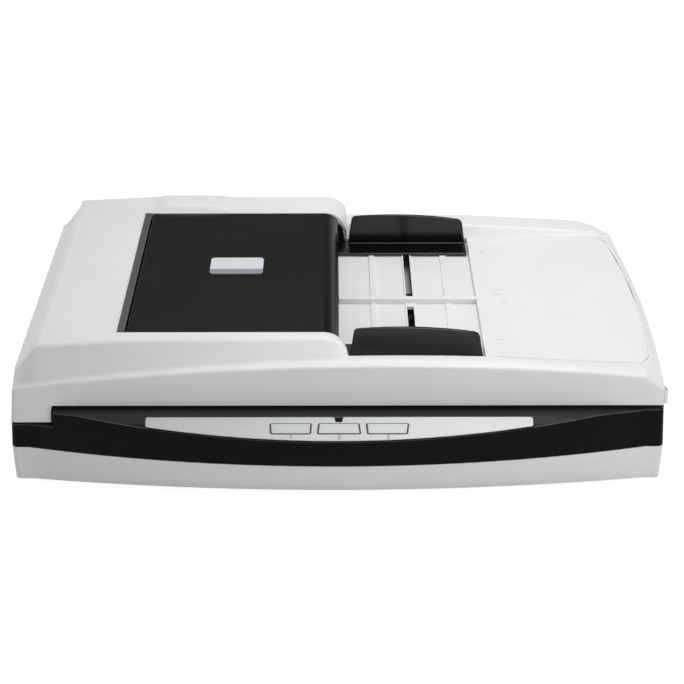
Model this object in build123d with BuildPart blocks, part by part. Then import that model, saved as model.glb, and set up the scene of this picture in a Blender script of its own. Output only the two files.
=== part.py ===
"""Flatbed document scanner with a sheet feeder in its lid, in millimetres.

The origin is on the ground under the middle of the casing. +X is to the right
of the person at the control panel, +Y is away from them and +Z is up.
"""
from build123d import *
import math
import os

os.makedirs("parts", exist_ok=True)

# Casing
width = 496.5            # widest line of the base, at the lower edge of the black frame
depth = 346.5            # from the middle of the curved front to the back
bow = 29.5               # how far the front curves out beyond its corners
corner_run = 14.0        # flat stretch of the front beside each corner
foot_height = 5.0
band_bottom = 34.0       # where the pale housing meets the black frame
frame_top = 66.0
lid_bottom = 70.0
roof = 115.0             # top of the feeder
wall = 2.5
corner_radius = 5.0

# Control panel
deck_depth = 8.4         # flat deck in front of the lid
incline = 0.53           # fall of the control panel for each mm towards the user
panel_left = -143.5
panel_right = 146.0
panel_inset = 1.2
key_depth = 7.6          # along the slope, seen from above
key_back = 15.3          # from the front corners forward to the keys' back edge
key_gap = 0.35
key_proud = 1.0

# Lid and its left end, which reaches down beside the frame
step_x = -216.0
step_bottom = 56.5
step_gap = 1.5
lid_left = -245.5
lid_back = 305.0         # behind the front corners
draft = 0.08             # lid walls lean in by this for each mm of height
liner_thick = 2.0
pad_thick = 3.7

# Glass
glass_thick = 3.0
bed_left = -80.0
bed_length = 298.0
bed_depth = 222.0
strip_x = -135.0
strip_width = 14.0
paper_middle = 150.0     # middle of the sheets, behind the front corners
paper_width = 216.0      # widest sheet, and the rest position of the guides
ledge = 5.0

# Tray, guides and rack
tray_top = 91.0
tray_thick = 2.0
recess_right = 113.5
recess_floor = 86.3
rib_height = 1.2
guide_height = 115.8
guide_thick = 3.6
guide_left = 9.0
guide_right = 111.5
foot_reach = 22.0
foot_thick = 1.8
slot_x = 59.3
slot_width = 5.4
rack_thick = 3.2
pinion_teeth = 14

# Feeder
cover_left = -161.0
cover_front = 34.0       # behind the front corners
cover_back = 265.0
cover_thick = 3.0
lip_drop = 6.0
lip_run = 12.0
lip_bottom = 97.0
path_top = 86.5          # upper sheet path under the cover
drive_x = -196.0
drive_z = 77.0
drive_radius = 10.0
feed_x = -75.0
feed_z = 97.0
feed_radius = 10.0
pick_x = -32.0
pick_z = 95.2
pick_radius = 8.0
exit_z = 80.0
exit_radius = 4.3
shaft_radius = 2.5
running = 0.05           # radial clearance of a shaft that turns in a hole
loose = 0.3              # clearance between parts that pass each other
gear_front = 124.8       # front face of the feeder gears
gear_width = 5.0

# Scanning carriage
carriage_length = 80.0
slit_to_edge = 15.0
carriage_bottom = 32.0
carriage_top = 60.0
rod_radius = 4.0
rod_y = 10.0
rod_z = 28.0
pulley_radius = 6.0
pulley_x = 222.0
belt_y = -30.0
belt_low = 24.5
belt_high = 29.5

# Hinges
hinge_x = 150.0
hinge_y = 166.5
hinge_z = 76.0
knuckle_radius = 4.6
post_width = 32.0

# Places that follow from the sizes above
half = width / 2
front_y = -depth / 2
corner_y = front_y + bow
back_y = depth / 2
middle_y = corner_y + paper_middle
slope_angle = math.atan(incline)


def behind(distance):
    """Y of a place this far behind the front corners."""
    return corner_y + distance


def keep(piece, name):
    """Label a finished piece and write it out."""
    piece.part.label = name
    export_step(piece.part, "parts/" + name + ".step")


def block(x0, x1, y0, y1, z0, z1, mode=Mode.ADD):
    """A block between two corners."""
    with Locations(((x0 + x1) / 2, (y0 + y1) / 2, (z0 + z1) / 2)):
        Box(abs(x1 - x0), abs(y1 - y0), abs(z1 - z0), mode=mode)


def disc_y(x, z, radius, y0, y1, mode=Mode.ADD):
    """A round bar along Y."""
    with BuildSketch(Plane.XZ.offset(-y1)) as face:
        with Locations((x, z)):
            Circle(radius)
    extrude(face.sketch, amount=y1 - y0, mode=mode)


def disc_x(y, z, radius, x0, x1, mode=Mode.ADD):
    """A round bar along X."""
    with BuildSketch(Plane.YZ.offset(x0)) as face:
        with Locations((y, z)):
            Circle(radius)
    extrude(face.sketch, amount=x1 - x0, mode=mode)


def disc_z(x, y, radius, z0, z1, mode=Mode.ADD):
    """A round bar along Z."""
    with BuildSketch(Plane.XY.offset(z0)) as face:
        with Locations((x, y)):
            Circle(radius)
    extrude(face.sketch, amount=z1 - z0, mode=mode)


def slab_y(points, y0, y1, mode=Mode.ADD):
    """A prism along Y with a profile of x, z points."""
    with BuildSketch(Plane.XZ.offset(-y1)) as face:
        Polygon(*points, align=None)
    extrude(face.sketch, amount=y1 - y0, mode=mode)


def slab_x(points, x0, x1, mode=Mode.ADD):
    """A prism along X with a profile of y, z points."""
    with BuildSketch(Plane.YZ.offset(x0)) as face:
        Polygon(*points, align=None)
    extrude(face.sketch, amount=x1 - x0, mode=mode)


def slab_z(points, z0, z1, mode=Mode.ADD):
    """A prism along Z with a profile of x, y points."""
    with BuildSketch(Plane.XY.offset(z0)) as face:
        Polygon(*points, align=None)
    extrude(face.sketch, amount=z1 - z0, mode=mode)


def tooth_ring(teeth, turn):
    """Outline of a gear of module 1, with one tooth centred at this turn in radians."""
    pitch = teeth / 2
    corners = [(pitch - 1.05, -1.0), (pitch + 0.7, -0.4), (pitch + 0.7, 0.4), (pitch - 1.05, 1.0)]
    points = []
    for tooth in range(teeth):
        middle = turn + tooth * 2 * math.pi / teeth
        for radius, side in corners:
            angle = middle + side / radius
            points.append((radius * math.cos(angle), radius * math.sin(angle)))
    return points


def mesh_turn(centre_a, teeth_a, turn_a, centre_b, teeth_b):
    """Turn that puts gear b's teeth in the gaps of gear a's."""
    line = math.atan2(centre_b[1] - centre_a[1], centre_b[0] - centre_a[0])
    share = ((line - turn_a) / (2 * math.pi / teeth_a)) % 1
    return line + math.pi - (0.5 - share) * 2 * math.pi / teeth_b


def apex(a, reach_a, b, reach_b, side):
    """Point at given distances from a and b, above the line between them if side is 1."""
    span = math.hypot(b[0] - a[0], b[1] - a[1])
    along = (reach_a ** 2 - reach_b ** 2 + span ** 2) / (2 * span)
    out = side * math.sqrt(reach_a ** 2 - along ** 2)
    ux = (b[0] - a[0]) / span
    uz = (b[1] - a[1]) / span
    return (a[0] + along * ux - out * uz, a[1] + along * uz + out * ux)


def gear_y(centre, teeth, turn, bore, y0, y1):
    """A spur gear along Y, with a bore unless it is moulded on its shaft."""
    slab_y([(centre[0] + x, centre[1] + z) for x, z in tooth_ring(teeth, turn)], y0, y1)
    if bore:
        disc_y(centre[0], centre[1], bore, y0, y1, mode=Mode.SUBTRACT)


def gear_z(centre, teeth, turn, bore, z0, z1):
    """A spur gear along Z, with a bore."""
    slab_z([(centre[0] + x, centre[1] + y) for x, y in tooth_ring(teeth, turn)], z0, z1)
    disc_z(centre[0], centre[1], bore, z0, z1, mode=Mode.SUBTRACT)


def base_outline(inset, bulge, setback=0.0):
    """Plan of the base: straight sides and back, and a front that bows out between its corners."""
    side = half - inset
    start = half - corner_run - inset
    near = corner_y + inset + setback
    with BuildSketch() as plan:
        with BuildLine():
            Line((-side, near), (-start, near))
            ThreePointArc((-start, near), (0, near - bulge), (start, near))
            Line((start, near), (side, near))
            Line((side, near), (side, back_y - inset))
            Line((side, back_y - inset), (-side, back_y - inset))
            Line((-side, back_y - inset), (-side, near))
        make_face()
        corners = plan.vertices().group_by(Axis.X)
        fillet(corners[0] + corners[-1], max(corner_radius - inset, 1.0))
    return plan.sketch


def lid_outline(inset):
    """Plan of the lid, with a bowed right side and cut rear corners."""
    with BuildSketch() as plan:
        with BuildLine():
            Line((lid_left, corner_y), (246.0, corner_y))
            ThreePointArc((246.0, corner_y), (249.3, behind(134)), (239.5, behind(268)))
            Line((239.5, behind(268)), (224.0, behind(lid_back)))
            Line((224.0, behind(lid_back)), (-229.0, behind(lid_back)))
            Line((-229.0, behind(lid_back)), (lid_left, behind(lid_back - 19)))
            Line((lid_left, behind(lid_back - 19)), (lid_left, corner_y))
        make_face()
        if inset:
            offset(amount=-inset, kind=Kind.INTERSECTION)
        front = plan.vertices().group_by(Axis.Y)[0]
        fillet(front, 4.0)
    return plan.sketch


def crest(x):
    """Height of the lid's front rim, which arches from left to right."""
    return 101.5 - 17.5 * ((x - 40.0) / 280.0) ** 2


def lid_walls(inset):
    """The lid's plan carried up with its draft."""
    low = 50.0
    high = 125.0
    with BuildPart() as walls:
        with BuildSketch(Plane.XY.offset(low)):
            add(lid_outline(inset + draft * (low - lid_bottom)))
        with BuildSketch(Plane.XY.offset(high)):
            add(lid_outline(inset + draft * (high - lid_bottom)))
        loft(ruled=True)
    return walls.part


def lid_crown(t):
    """The lid's front, top and back faces, drawn in by t: feeder on the left, the tray's rims on the right."""
    low = 50.0
    left_stations = [
        (-256.0, 82.0, 1.0, 16.0),
        (-228.0, 112.0, 2.0, 17.0),
        (-165.0, roof, 4.0, 18.0),
        (-12.0 - 0.4 * t, roof, 8.0, 18.0),
        (7.3 - t, 104.7, 8.5, 13.0),
    ]
    with BuildPart() as left:
        for x, top, shelf, top_front in left_stations:
            with BuildSketch(Plane.YZ.offset(x)):
                rim = min(crest(x), top - 2.0)
                Polygon(
                    (behind(-4 + t), low),
                    (behind(-4 + t), rim - 2 - t),
                    (behind(3 + t), rim - t),
                    (behind(3 + shelf + t), min(rim + 1.2, top - 0.8) - t),
                    (behind(top_front + 0.5 * t + max(0.0, shelf - 2.0)), top - t),
                    (behind(lid_back - 2 - t), top - t),
                    (behind(lid_back + 4 - t), top - 12),
                    (behind(lid_back + 4 - t), low),
                    align=None,
                )
        loft(ruled=True)
    right_stations = [
        (7.3 - t, 8.5, 1.5, 21.0, 27.0, 266.0, 102.5, 98.0),
        (114.0, 7.0, 1.5, 21.0, 38.0, 267.0, 100.8, 97.3),
        (228.0, 4.0, 0.8, 9.0, 26.0, 270.0, 94.6, 91.5),
        (262.0, 3.0, 0.2, 7.0, 24.0, 271.0, 91.6, 90.0),
    ]
    with BuildPart() as right:
        for x, shelf, swell, top_in, floor_front, floor_back, rear_rim, rear_edge in right_stations:
            with BuildSketch(Plane.YZ.offset(x)):
                rim = max(crest(x), tray_top + 0.6)
                shelf_edge = 3 + shelf + 0.5 * t
                Polygon(
                    (behind(-4 + t), low),
                    (behind(-4 + t), rim - 2 - t),
                    (behind(3 + t), rim - t),
                    (behind(shelf_edge), rim + swell - t),
                    (behind(max(top_in - t, shelf_edge + 0.5)), rim + 0.5 * swell - t),
                    (behind(floor_front - t), tray_top - t),
                    (behind(floor_back + t), tray_top - t),
                    (behind(273 + t), rear_rim - t),
                    (behind(lid_back - 2 - t), rear_edge - t),
                    (behind(lid_back + 4 - t), rear_edge - 6 - t),
                    (behind(lid_back + 4 - t), low),
                    align=None,
                )
        loft(ruled=True)
    return left.part + right.part


def lid_solid(t):
    """The lid's outside drawn in by t, down to its bottom edge with the deeper left end."""
    with BuildPart() as solid:
        add(lid_walls(t))
        add(lid_crown(t), mode=Mode.INTERSECT)
        block(-260, 260, -200, 200, 40, step_bottom - (1 if t else 0), mode=Mode.SUBTRACT)
        if t:
            block(step_x - t, 260, -200, 200, 50, lid_bottom - 1, mode=Mode.SUBTRACT)
        else:
            block(step_x, 260, -200, 200, 50, lid_bottom, mode=Mode.SUBTRACT)
    return solid.part


def tray_outline(gap):
    """Plan of the tray moulding, which fills the lid between its rims and the feeder's cheeks."""
    back = lid_back - 37
    with BuildSketch() as plan:
        with BuildLine():
            Line((0.4 + gap, behind(cover_front + gap)), (8.2, behind(cover_front + gap)))
            Line((8.2, behind(cover_front + gap)), (8.2, behind(28.5 + gap)))
            Line((8.2, behind(28.5 + gap)), (recess_right, behind(34.5 + gap)))
            Line((recess_right, behind(34.5 + gap)), (118.0, behind(39.5 + gap)))
            Line((118.0, behind(39.5 + gap)), (231.0, behind(28.0 + gap)))
            Line((231.0, behind(28.0 + gap)), (238.0 - gap, behind(36.0)))
            ThreePointArc((238.0 - gap, behind(36.0)), (243.3 - gap, behind(120)),
                          (234.5 - gap, behind(back - 10)))
            Line((234.5 - gap, behind(back - 10)), (226.0, behind(back - gap)))
            Line((226.0, behind(back - gap)), (8.2, behind(cover_back - gap)))
            Line((8.2, behind(cover_back - gap)), (0.4 + gap, behind(cover_back - gap)))
            Line((0.4 + gap, behind(cover_back - gap)), (0.4 + gap, behind(cover_front + gap)))
        make_face()
    return plan.sketch


def frame_solid(t):
    """The black frame's outside drawn in by t, with its sloped front and the step at its left end."""
    low = band_bottom - (1.0 if t else 0.0)
    top = frame_top - (ledge if t else 0.0)
    with BuildPart() as solid:
        with BuildSketch(Plane.XY.offset(low)):
            add(base_outline(t, bow))
        with BuildSketch(Plane.XY.offset(top)):
            add(base_outline(t + 2.2, bow, -2.0))
        loft(ruled=True)
        add(slope_slab(-1.2 * t, 60.0), mode=Mode.SUBTRACT)
        notch = step_x + step_gap
        block(-260, notch + t, -200, 200, step_bottom - step_gap - 1.0 - t, 90, mode=Mode.SUBTRACT)
    return solid.part


def slope_z(y):
    """Height of the control panel's slope."""
    return frame_top + incline * (y - (corner_y - deck_depth))


def slope_slab(low, high):
    """A slab along the control panel's slope, in front of the deck."""
    near = corner_y - 60.0
    far = corner_y - deck_depth
    points = [
        (near, slope_z(near) + low),
        (far, slope_z(far) + low),
        (far, slope_z(far) + high),
        (near, slope_z(near) + high),
    ]
    with BuildPart() as slab:
        slab_x(points, -260, 260)
    return slab.part


def panel_plan(gap):
    """Plan of the control panel: straight at the back, following the curved ridge in front."""
    back = corner_y - deck_depth - 1.5
    with BuildSketch() as plan:
        add(base_outline(panel_inset - gap, bow))
        with Locations(((panel_left + panel_right) / 2, back - 50 + gap)):
            Rectangle(panel_right - panel_left + 2 * gap, 100, mode=Mode.INTERSECT)
        fillet(plan.vertices(), 1.5)
    return plan.sketch


def panel_strip(gap, low, high):
    """The control panel's outline carried through a slab on the slope."""
    with BuildPart() as strip:
        extrude(panel_plan(gap), amount=90)
        add(slope_slab(low, high), mode=Mode.INTERSECT)
    return strip.part


# Plane of the control panel's slope: x to the right, y up the slope
panel_plane = Plane(
    origin=(0, corner_y - deck_depth, frame_top),
    x_dir=(1, 0, 0),
    z_dir=(0, -math.sin(slope_angle), math.cos(slope_angle)),
)
key_top = -(key_back - deck_depth) / math.cos(slope_angle)
key_low = key_top - key_depth / math.cos(slope_angle) * 0.96

# Corners of each key on the slope: left and right at the back, then left and right in front
keys = {
    "left": (-49.8, -20.4, -49.1, -21.0),
    "middle": (-13.4, 15.2, -14.3, 16.3),
    "right": (22.2, 52.3, 22.9, 51.1),
}


def key_face(corners, gap, depth):
    """A key's outline, grown by gap, at this height on the slope."""
    back_left, back_right, front_left, front_right = corners
    with BuildSketch(panel_plane.offset(depth)) as face:
        Polygon(
            (back_left - gap, key_top + gap),
            (front_left - gap, key_low - gap),
            (front_right + gap, key_low - gap),
            (back_right + gap, key_top + gap),
            align=None,
        )
        fillet(face.vertices(), 0.8)
    return face.sketch


# Lower housing: pale moulding that forms the bottom of the case
floor_z = foot_height + wall
screw_spots = [(x, y) for x in (-228.0, 0.0, 228.0) for y in (-130.0, 142.0)]
rail_y = -104.0
post_half = 8.0
motor_spot = (-pulley_x, belt_y - 23.0)
motor_seat = 24.0
board_spots = [(26.0, 78.0), (134.0, 78.0), (26.0, 150.0), (134.0, 150.0)]
board_z = floor_z + 3.5
board_thick = 1.6
usb_x = 60.0
jack_x = 92.0
housing_levels = [
    (foot_height, 0.6, 17.5, 1.5),
    (17.0, 0.3, 25.5, 0.5),
    (band_bottom, 0.0, bow, 0.0),
]

with BuildPart() as lower_housing:
    for z, inset, bulge, setback in housing_levels:
        with BuildSketch(Plane.XY.offset(z)):
            add(base_outline(inset, bulge, setback))
    loft(ruled=True)
    for z, inset, bulge, setback in housing_levels:
        with BuildSketch(Plane.XY.offset(max(z, floor_z))):
            add(base_outline(inset + wall, bulge, setback))
    loft(ruled=True, mode=Mode.SUBTRACT)
    for x, y in screw_spots:
        disc_z(x, y, 5.2, floor_z, band_bottom - 0.2)
    for x, y in screw_spots:
        disc_z(x, y, 3.9, foot_height - 1, 20.0, mode=Mode.SUBTRACT)
        disc_z(x, y, 1.8, 19.0, band_bottom, mode=Mode.SUBTRACT)
    for side in (-1, 1):
        block(side * 235.0, side * 243.0, rod_y - post_half, rod_y + post_half, floor_z, band_bottom)
        disc_x(rod_y, rod_z, rod_radius + running, side * 239.0 - 5, side * 239.0 + 5, mode=Mode.SUBTRACT)
        disc_z(side * pulley_x, belt_y, 2.0, floor_z, belt_high + 1.3)
    block(-236.0, 236.0, rail_y, rail_y + 3.0, floor_z, carriage_bottom - loose)
    block(motor_spot[0] - 17, motor_spot[0] + 17, motor_spot[1] - 15, motor_spot[1] + 13, 22.4, motor_seat)
    for side in (-1, 1):
        leg = motor_spot[0] + side * 15.5
        block(leg - 1.5, leg + 1.5, motor_spot[1] - 15, motor_spot[1] - 9, floor_z, motor_seat)
    disc_z(*motor_spot, 3.0, 22, motor_seat + 1, mode=Mode.SUBTRACT)
    for x, y in board_spots:
        disc_z(x, y, 3.0, floor_z, board_z)
    block(usb_x - 0.3, usb_x + 12.3, back_y - 4, back_y + 2, board_z + 1.3, board_z + 13,
          mode=Mode.SUBTRACT)
    block(jack_x - 0.3, jack_x + 9.3, back_y - 4, back_y + 2, board_z + 1.3, board_z + 13,
          mode=Mode.SUBTRACT)
keep(lower_housing, "lower_housing")

# Rubber feet under the four corners
foot_spots = [(x, y) for x in (-205.0, 205.0) for y in (-122.0, 145.0)]
with BuildPart() as rubber_feet:
    for x, y in foot_spots:
        disc_z(x, y, 10.0, 0.0, foot_height)
    chamfer(rubber_feet.faces().filter_by(Axis.Z).group_by(Axis.Z)[0].edges(), 1.0)
keep(rubber_feet, "rubber_feet")

# Screws that hold the black frame down on the housing
with BuildPart() as case_screws:
    for x, y in screw_spots:
        disc_z(x, y, 3.5, 17.6, 20.0)
        disc_z(x, y, 1.5, 20.0, 44.0)
    for x, y in screw_spots:
        block(x - 2.2, x + 2.2, y - 0.4, y + 0.4, 17.0, 18.6, mode=Mode.SUBTRACT)
        block(x - 0.4, x + 0.4, y - 2.2, y + 2.2, 17.0, 18.6, mode=Mode.SUBTRACT)
keep(case_screws, "case_screws")

# Black frame: curved front, deck, glass seats, hinge sockets and the switch opening
switch_y = behind(35.0)
switch_z = 58.0
bed_right = bed_left + bed_length
post_front = hinge_y - 4.1
post_back = hinge_y + 1.5
slide_gap = 0.2
socket_low = 30.0
board_depth = -8.4
led_x = 0.8

with BuildPart() as upper_frame:
    add(frame_solid(0.0))
    add(frame_solid(wall), mode=Mode.SUBTRACT)
    for x, y in screw_spots:
        top = step_bottom - 4.0 if x < step_x else frame_top - 4.0
        disc_z(x, y, 4.6, band_bottom - 0.2, top)
    for x, y in screw_spots:
        disc_z(x, y, 1.6, band_bottom - 1, 46.0, mode=Mode.SUBTRACT)
    for side in (-1, 1):
        reach = post_width / 2
        x = side * hinge_x
        block(x - reach - 2.4, x + reach + 2.4, post_front - 2.4, back_y - 4.0, socket_low + 5, frame_top)
        block(
            x - reach - slide_gap, x + reach + slide_gap,
            post_front - slide_gap, post_back + slide_gap,
            socket_low, frame_top + 1, mode=Mode.SUBTRACT,
        )
    block(
        bed_left, bed_right, middle_y - bed_depth / 2, middle_y + bed_depth / 2,
        50, 80, mode=Mode.SUBTRACT,
    )
    block(
        bed_left - 4, bed_right + 4, middle_y - bed_depth / 2 - 4, middle_y + bed_depth / 2 + 4,
        frame_top - glass_thick, 80, mode=Mode.SUBTRACT,
    )
    block(
        strip_x - strip_width / 2, strip_x + strip_width / 2,
        middle_y - bed_depth / 2, middle_y + bed_depth / 2, 50, 80, mode=Mode.SUBTRACT,
    )
    block(
        strip_x - strip_width / 2 - 3, strip_x + strip_width / 2 + 3,
        middle_y - bed_depth / 2 - 4, middle_y + bed_depth / 2 + 4,
        frame_top - glass_thick, 80, mode=Mode.SUBTRACT,
    )
    add(panel_strip(0.2, -1.2, 3.0), mode=Mode.SUBTRACT)
    for corners in keys.values():
        extrude(key_face(corners, key_gap, -6.0), amount=8.0, mode=Mode.SUBTRACT)
    for x in (-57.0, 60.0):
        with BuildSketch(panel_plane.offset(board_depth)) as post:
            with Locations((x, -10.5)):
                Circle(2.5)
        extrude(post.sketch, amount=-board_depth - 2.0)
    block(235.0, 260.0, switch_y - 10.2, switch_y + 10.2, switch_z - 6.4, switch_z + 6.4,
          mode=Mode.SUBTRACT)
keep(upper_frame, "upper_frame")

# Glass plates, flush with the frame
with BuildPart() as flatbed_glass:
    block(
        bed_left - 3.8, bed_right + 3.8, middle_y - bed_depth / 2 - 3.8, middle_y + bed_depth / 2 + 3.8,
        frame_top - glass_thick, frame_top,
    )
keep(flatbed_glass, "flatbed_glass")

with BuildPart() as strip_glass:
    block(
        strip_x - strip_width / 2 - 2.8, strip_x + strip_width / 2 + 2.8,
        middle_y - bed_depth / 2 - 3.8, middle_y + bed_depth / 2 + 3.8,
        frame_top - glass_thick, frame_top,
    )
keep(strip_glass, "strip_glass")

# Control panel, its window and its three keys
with BuildPart() as control_panel:
    add(panel_strip(0.0, -1.2, 0.4))
    for corners in keys.values():
        extrude(key_face(corners, key_gap, -6.0), amount=8.0, mode=Mode.SUBTRACT)
    with BuildSketch(panel_plane.offset(-4.0)) as notch:
        Polygon((led_x - 4.6, 2), (led_x - 2.3, -5.9), (led_x + 2.3, -5.9), (led_x + 4.6, 2), align=None)
    extrude(notch.sketch, amount=6.0, mode=Mode.SUBTRACT)
keep(control_panel, "control_panel")

with BuildPart() as led_window:
    with BuildSketch(panel_plane.offset(-1.02)) as window:
        Polygon((led_x - 3.3, -2.4), (led_x - 2.1, -5.7), (led_x + 2.1, -5.7), (led_x + 3.3, -2.4),
                align=None)
    extrude(window.sketch, amount=1.4)
keep(led_window, "led_window")

for name, corners in keys.items():
    with BuildPart() as key:
        extrude(key_face(corners, 0.0, -3.6), amount=3.6 + key_proud)
        extrude(key_face(corners, 1.3, -4.4), amount=1.2)
        middle = (corners[0] + corners[1]) / 2
        with BuildSketch(panel_plane.offset(-5.2)) as stem:
            with Locations((middle, (key_top + key_low) / 2)):
                Circle(1.6)
        extrude(stem.sketch, amount=1.0)
    keep(key, "button_" + name)

with BuildPart() as button_board:
    with BuildSketch(panel_plane.offset(board_depth - board_thick)) as board:
        with Locations((1.5, -11.0)):
            Rectangle(128, 15)
    extrude(board.sketch, amount=board_thick)
    for corners in keys.values():
        middle = (corners[0] + corners[1]) / 2
        with BuildSketch(panel_plane.offset(board_depth)) as switch:
            with Locations((middle, (key_top + key_low) / 2)):
                Rectangle(6, 6)
        extrude(switch.sketch, amount=1.6)
        with BuildSketch(panel_plane.offset(board_depth + 1.6)) as plunger:
            with Locations((middle, (key_top + key_low) / 2)):
                Circle(1.5)
        extrude(plunger.sketch, amount=0.6)
keep(button_board, "button_board")

# Power switch in the right wall
rocker_x = 246.4
rocker_lean = 7.0
rocker_half = 4.4
pocket_half = 4.8
with BuildPart() as switch_bezel:
    block(238.0, 250.8, switch_y - 10.0, switch_y + 10.0, switch_z - 6.2, switch_z + 6.2)
    chamfer(switch_bezel.faces().sort_by(Axis.X)[-1].edges(), 0.8)
    block(243.3, 252.0, switch_y - 7.8, switch_y + 7.8, switch_z - pocket_half, switch_z + pocket_half,
          mode=Mode.SUBTRACT)
    disc_z(rocker_x, switch_y, 1.1, switch_z - 5.6, switch_z + 5.6, mode=Mode.SUBTRACT)
keep(switch_bezel, "switch_bezel")

rocker_plane = Plane(
    origin=(rocker_x, switch_y, switch_z - rocker_half),
    x_dir=(math.cos(math.radians(rocker_lean)), math.sin(math.radians(rocker_lean)), 0),
    z_dir=(0, 0, 1),
)
with BuildPart() as power_rocker:
    with BuildSketch(rocker_plane) as outline:
        Polygon((-2.0, -6.4), (-2.0, 6.4), (2.0, 6.9), (4.2, 6.9), (3.0, 0), (4.2, -6.9), (2.0, -6.9),
                align=None)
    extrude(outline.sketch, amount=2 * rocker_half)
    disc_z(rocker_x, switch_y, 1.04, switch_z - 5.4, switch_z + 5.4)
keep(power_rocker, "power_rocker")

# Main board with its two sockets at the back wall
with BuildPart() as main_board:
    block(20.0, 140.0, 70.0, back_y - 6.0, board_z, board_z + board_thick)
    chips = [(48, 96, 18, 2.5), (84, 92, 12, 2), (112, 110, 14, 2), (70, 126, 9, 5), (122, 136, 8, 9)]
    board_top = board_z + board_thick
    for x, y, side, tall in chips:
        block(x - side / 2, x + side / 2, y - side / 2, y + side / 2, board_top, board_top + tall)
    for x, y in ((36, 130), (50, 138), (104, 84)):
        disc_z(x, y, 4.0, board_z + board_thick, board_z + 11)
keep(main_board, "main_board")

socket_low_z = board_z + board_thick
with BuildPart() as usb_socket:
    block(usb_x, usb_x + 12.0, back_y - 18.0, back_y - 1.0, socket_low_z, socket_low_z + 11.0)
    block(usb_x + 2.0, usb_x + 10.0, back_y - 12.0, back_y, socket_low_z + 2.0, socket_low_z + 9.0,
          mode=Mode.SUBTRACT)
    block(usb_x + 3.2, usb_x + 8.8, back_y - 12.0, back_y - 3.0, socket_low_z + 4.0, socket_low_z + 7.0)
keep(usb_socket, "usb_socket")

jack_bore = 3.2
jack_z = socket_low_z + 5.5
with BuildPart() as power_jack:
    block(jack_x, jack_x + 9.0, back_y - 15.0, back_y - 1.0, socket_low_z, socket_low_z + 11.0)
    disc_y(jack_x + 4.5, jack_z, jack_bore, back_y - 12.0, back_y, mode=Mode.SUBTRACT)
    disc_y(jack_x + 4.5, jack_z, 1.0, back_y - 12.0, back_y - 3.0)
keep(power_jack, "power_jack")

# Carriage that scans under the glass, on its rod, with belt, pulleys and motor
slit_x = strip_x
carriage_right = slit_x + slit_to_edge
carriage_left = carriage_right - carriage_length
carriage_front = middle_y - 118.0
carriage_back = middle_y + 118.0
belt_thick = 1.2
belt_run_y = belt_y + pulley_radius
bar_half = 5.0
bar_low = 48.0
with BuildPart() as carriage_housing:
    block(carriage_left, carriage_right, carriage_front, carriage_back, carriage_bottom, carriage_top)
    chamfer(carriage_housing.edges().filter_by(Axis.Y), 2.0)
    block(
        carriage_left + wall, carriage_right - wall, carriage_front + wall, carriage_back - wall,
        carriage_bottom - 1, bar_low - 3.0, mode=Mode.SUBTRACT,
    )
    block(
        slit_x - bar_half - 0.1, slit_x + bar_half + 0.1, middle_y - 112.1, middle_y + 112.1,
        bar_low, carriage_top + 1, mode=Mode.SUBTRACT,
    )
    block(carriage_left + 8, carriage_right - 8, rod_y - 7.0, rod_y + 7.0, rod_z - 5.2, bar_low - 3.0)
    disc_x(rod_y, rod_z, rod_radius + running, carriage_left, carriage_right, mode=Mode.SUBTRACT)
    block(carriage_left + 30, carriage_left + 50, belt_run_y - 4, belt_run_y + 5, belt_low - 2,
          bar_low - 3.0)
    block(
        carriage_left + 29, carriage_left + 51, belt_run_y - loose, belt_run_y + belt_thick + loose,
        belt_low - 3, belt_high + 0.5, mode=Mode.SUBTRACT,
    )
keep(carriage_housing, "carriage_housing")

with BuildPart() as sensor_bar:
    block(slit_x - bar_half, slit_x + bar_half, middle_y - 112.0, middle_y + 112.0, bar_low,
          carriage_top + 0.5)
    block(slit_x - 2.5, slit_x + 2.5, middle_y - 109.0, middle_y + 109.0, carriage_top - 2,
          carriage_top + 1, mode=Mode.SUBTRACT)
    disc_y(slit_x, carriage_top - 1.0, 1.6, middle_y - 108.0, middle_y + 108.0)
keep(sensor_bar, "sensor_bar")

with BuildPart() as guide_rod:
    disc_x(rod_y, rod_z, rod_radius, -242.0, 242.0)
keep(guide_rod, "guide_rod")

with BuildPart() as drive_belt:
    for radius, mode in ((pulley_radius + belt_thick, Mode.ADD), (pulley_radius, Mode.SUBTRACT)):
        with BuildSketch(Plane.XY.offset(belt_low)) as loop:
            with Locations((0, belt_y)):
                SlotCenterToCenter(2 * pulley_x, 2 * radius)
        extrude(loop.sketch, amount=belt_high - belt_low, mode=mode)
keep(drive_belt, "drive_belt")

reduction_teeth = 36
motor_teeth = 10
drive_centre = (-pulley_x, belt_y)
gear_low = 16.0
pulley_bore = 2.0 + running
with BuildPart() as drive_pulley:
    gear_z(drive_centre, reduction_teeth, 0.0, pulley_bore, gear_low, gear_low + 5.0)
    disc_z(*drive_centre, 5.0, gear_low + 5.0, belt_low - 1.5)
    disc_z(*drive_centre, pulley_radius + 2.0, belt_low - 1.5, belt_low - 0.5)
    disc_z(*drive_centre, pulley_radius - 0.2, belt_low - 0.5, belt_high + 0.5)
    disc_z(*drive_centre, pulley_bore, gear_low, belt_high + 2, mode=Mode.SUBTRACT)
keep(drive_pulley, "drive_pulley")

with BuildPart() as idler_pulley:
    disc_z(pulley_x, belt_y, pulley_radius + 2.0, belt_low - 1.5, belt_low - 0.5)
    disc_z(pulley_x, belt_y, pulley_radius - 0.2, belt_low - 0.5, belt_high + 0.5)
    disc_z(pulley_x, belt_y, pulley_bore, belt_low - 2, belt_high + 2, mode=Mode.SUBTRACT)
    disc_z(pulley_x, belt_y, 4.0, floor_z + loose, belt_low - 1.5)
    disc_z(pulley_x, belt_y, pulley_bore, floor_z, belt_low, mode=Mode.SUBTRACT)
keep(idler_pulley, "idler_pulley")

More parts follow.
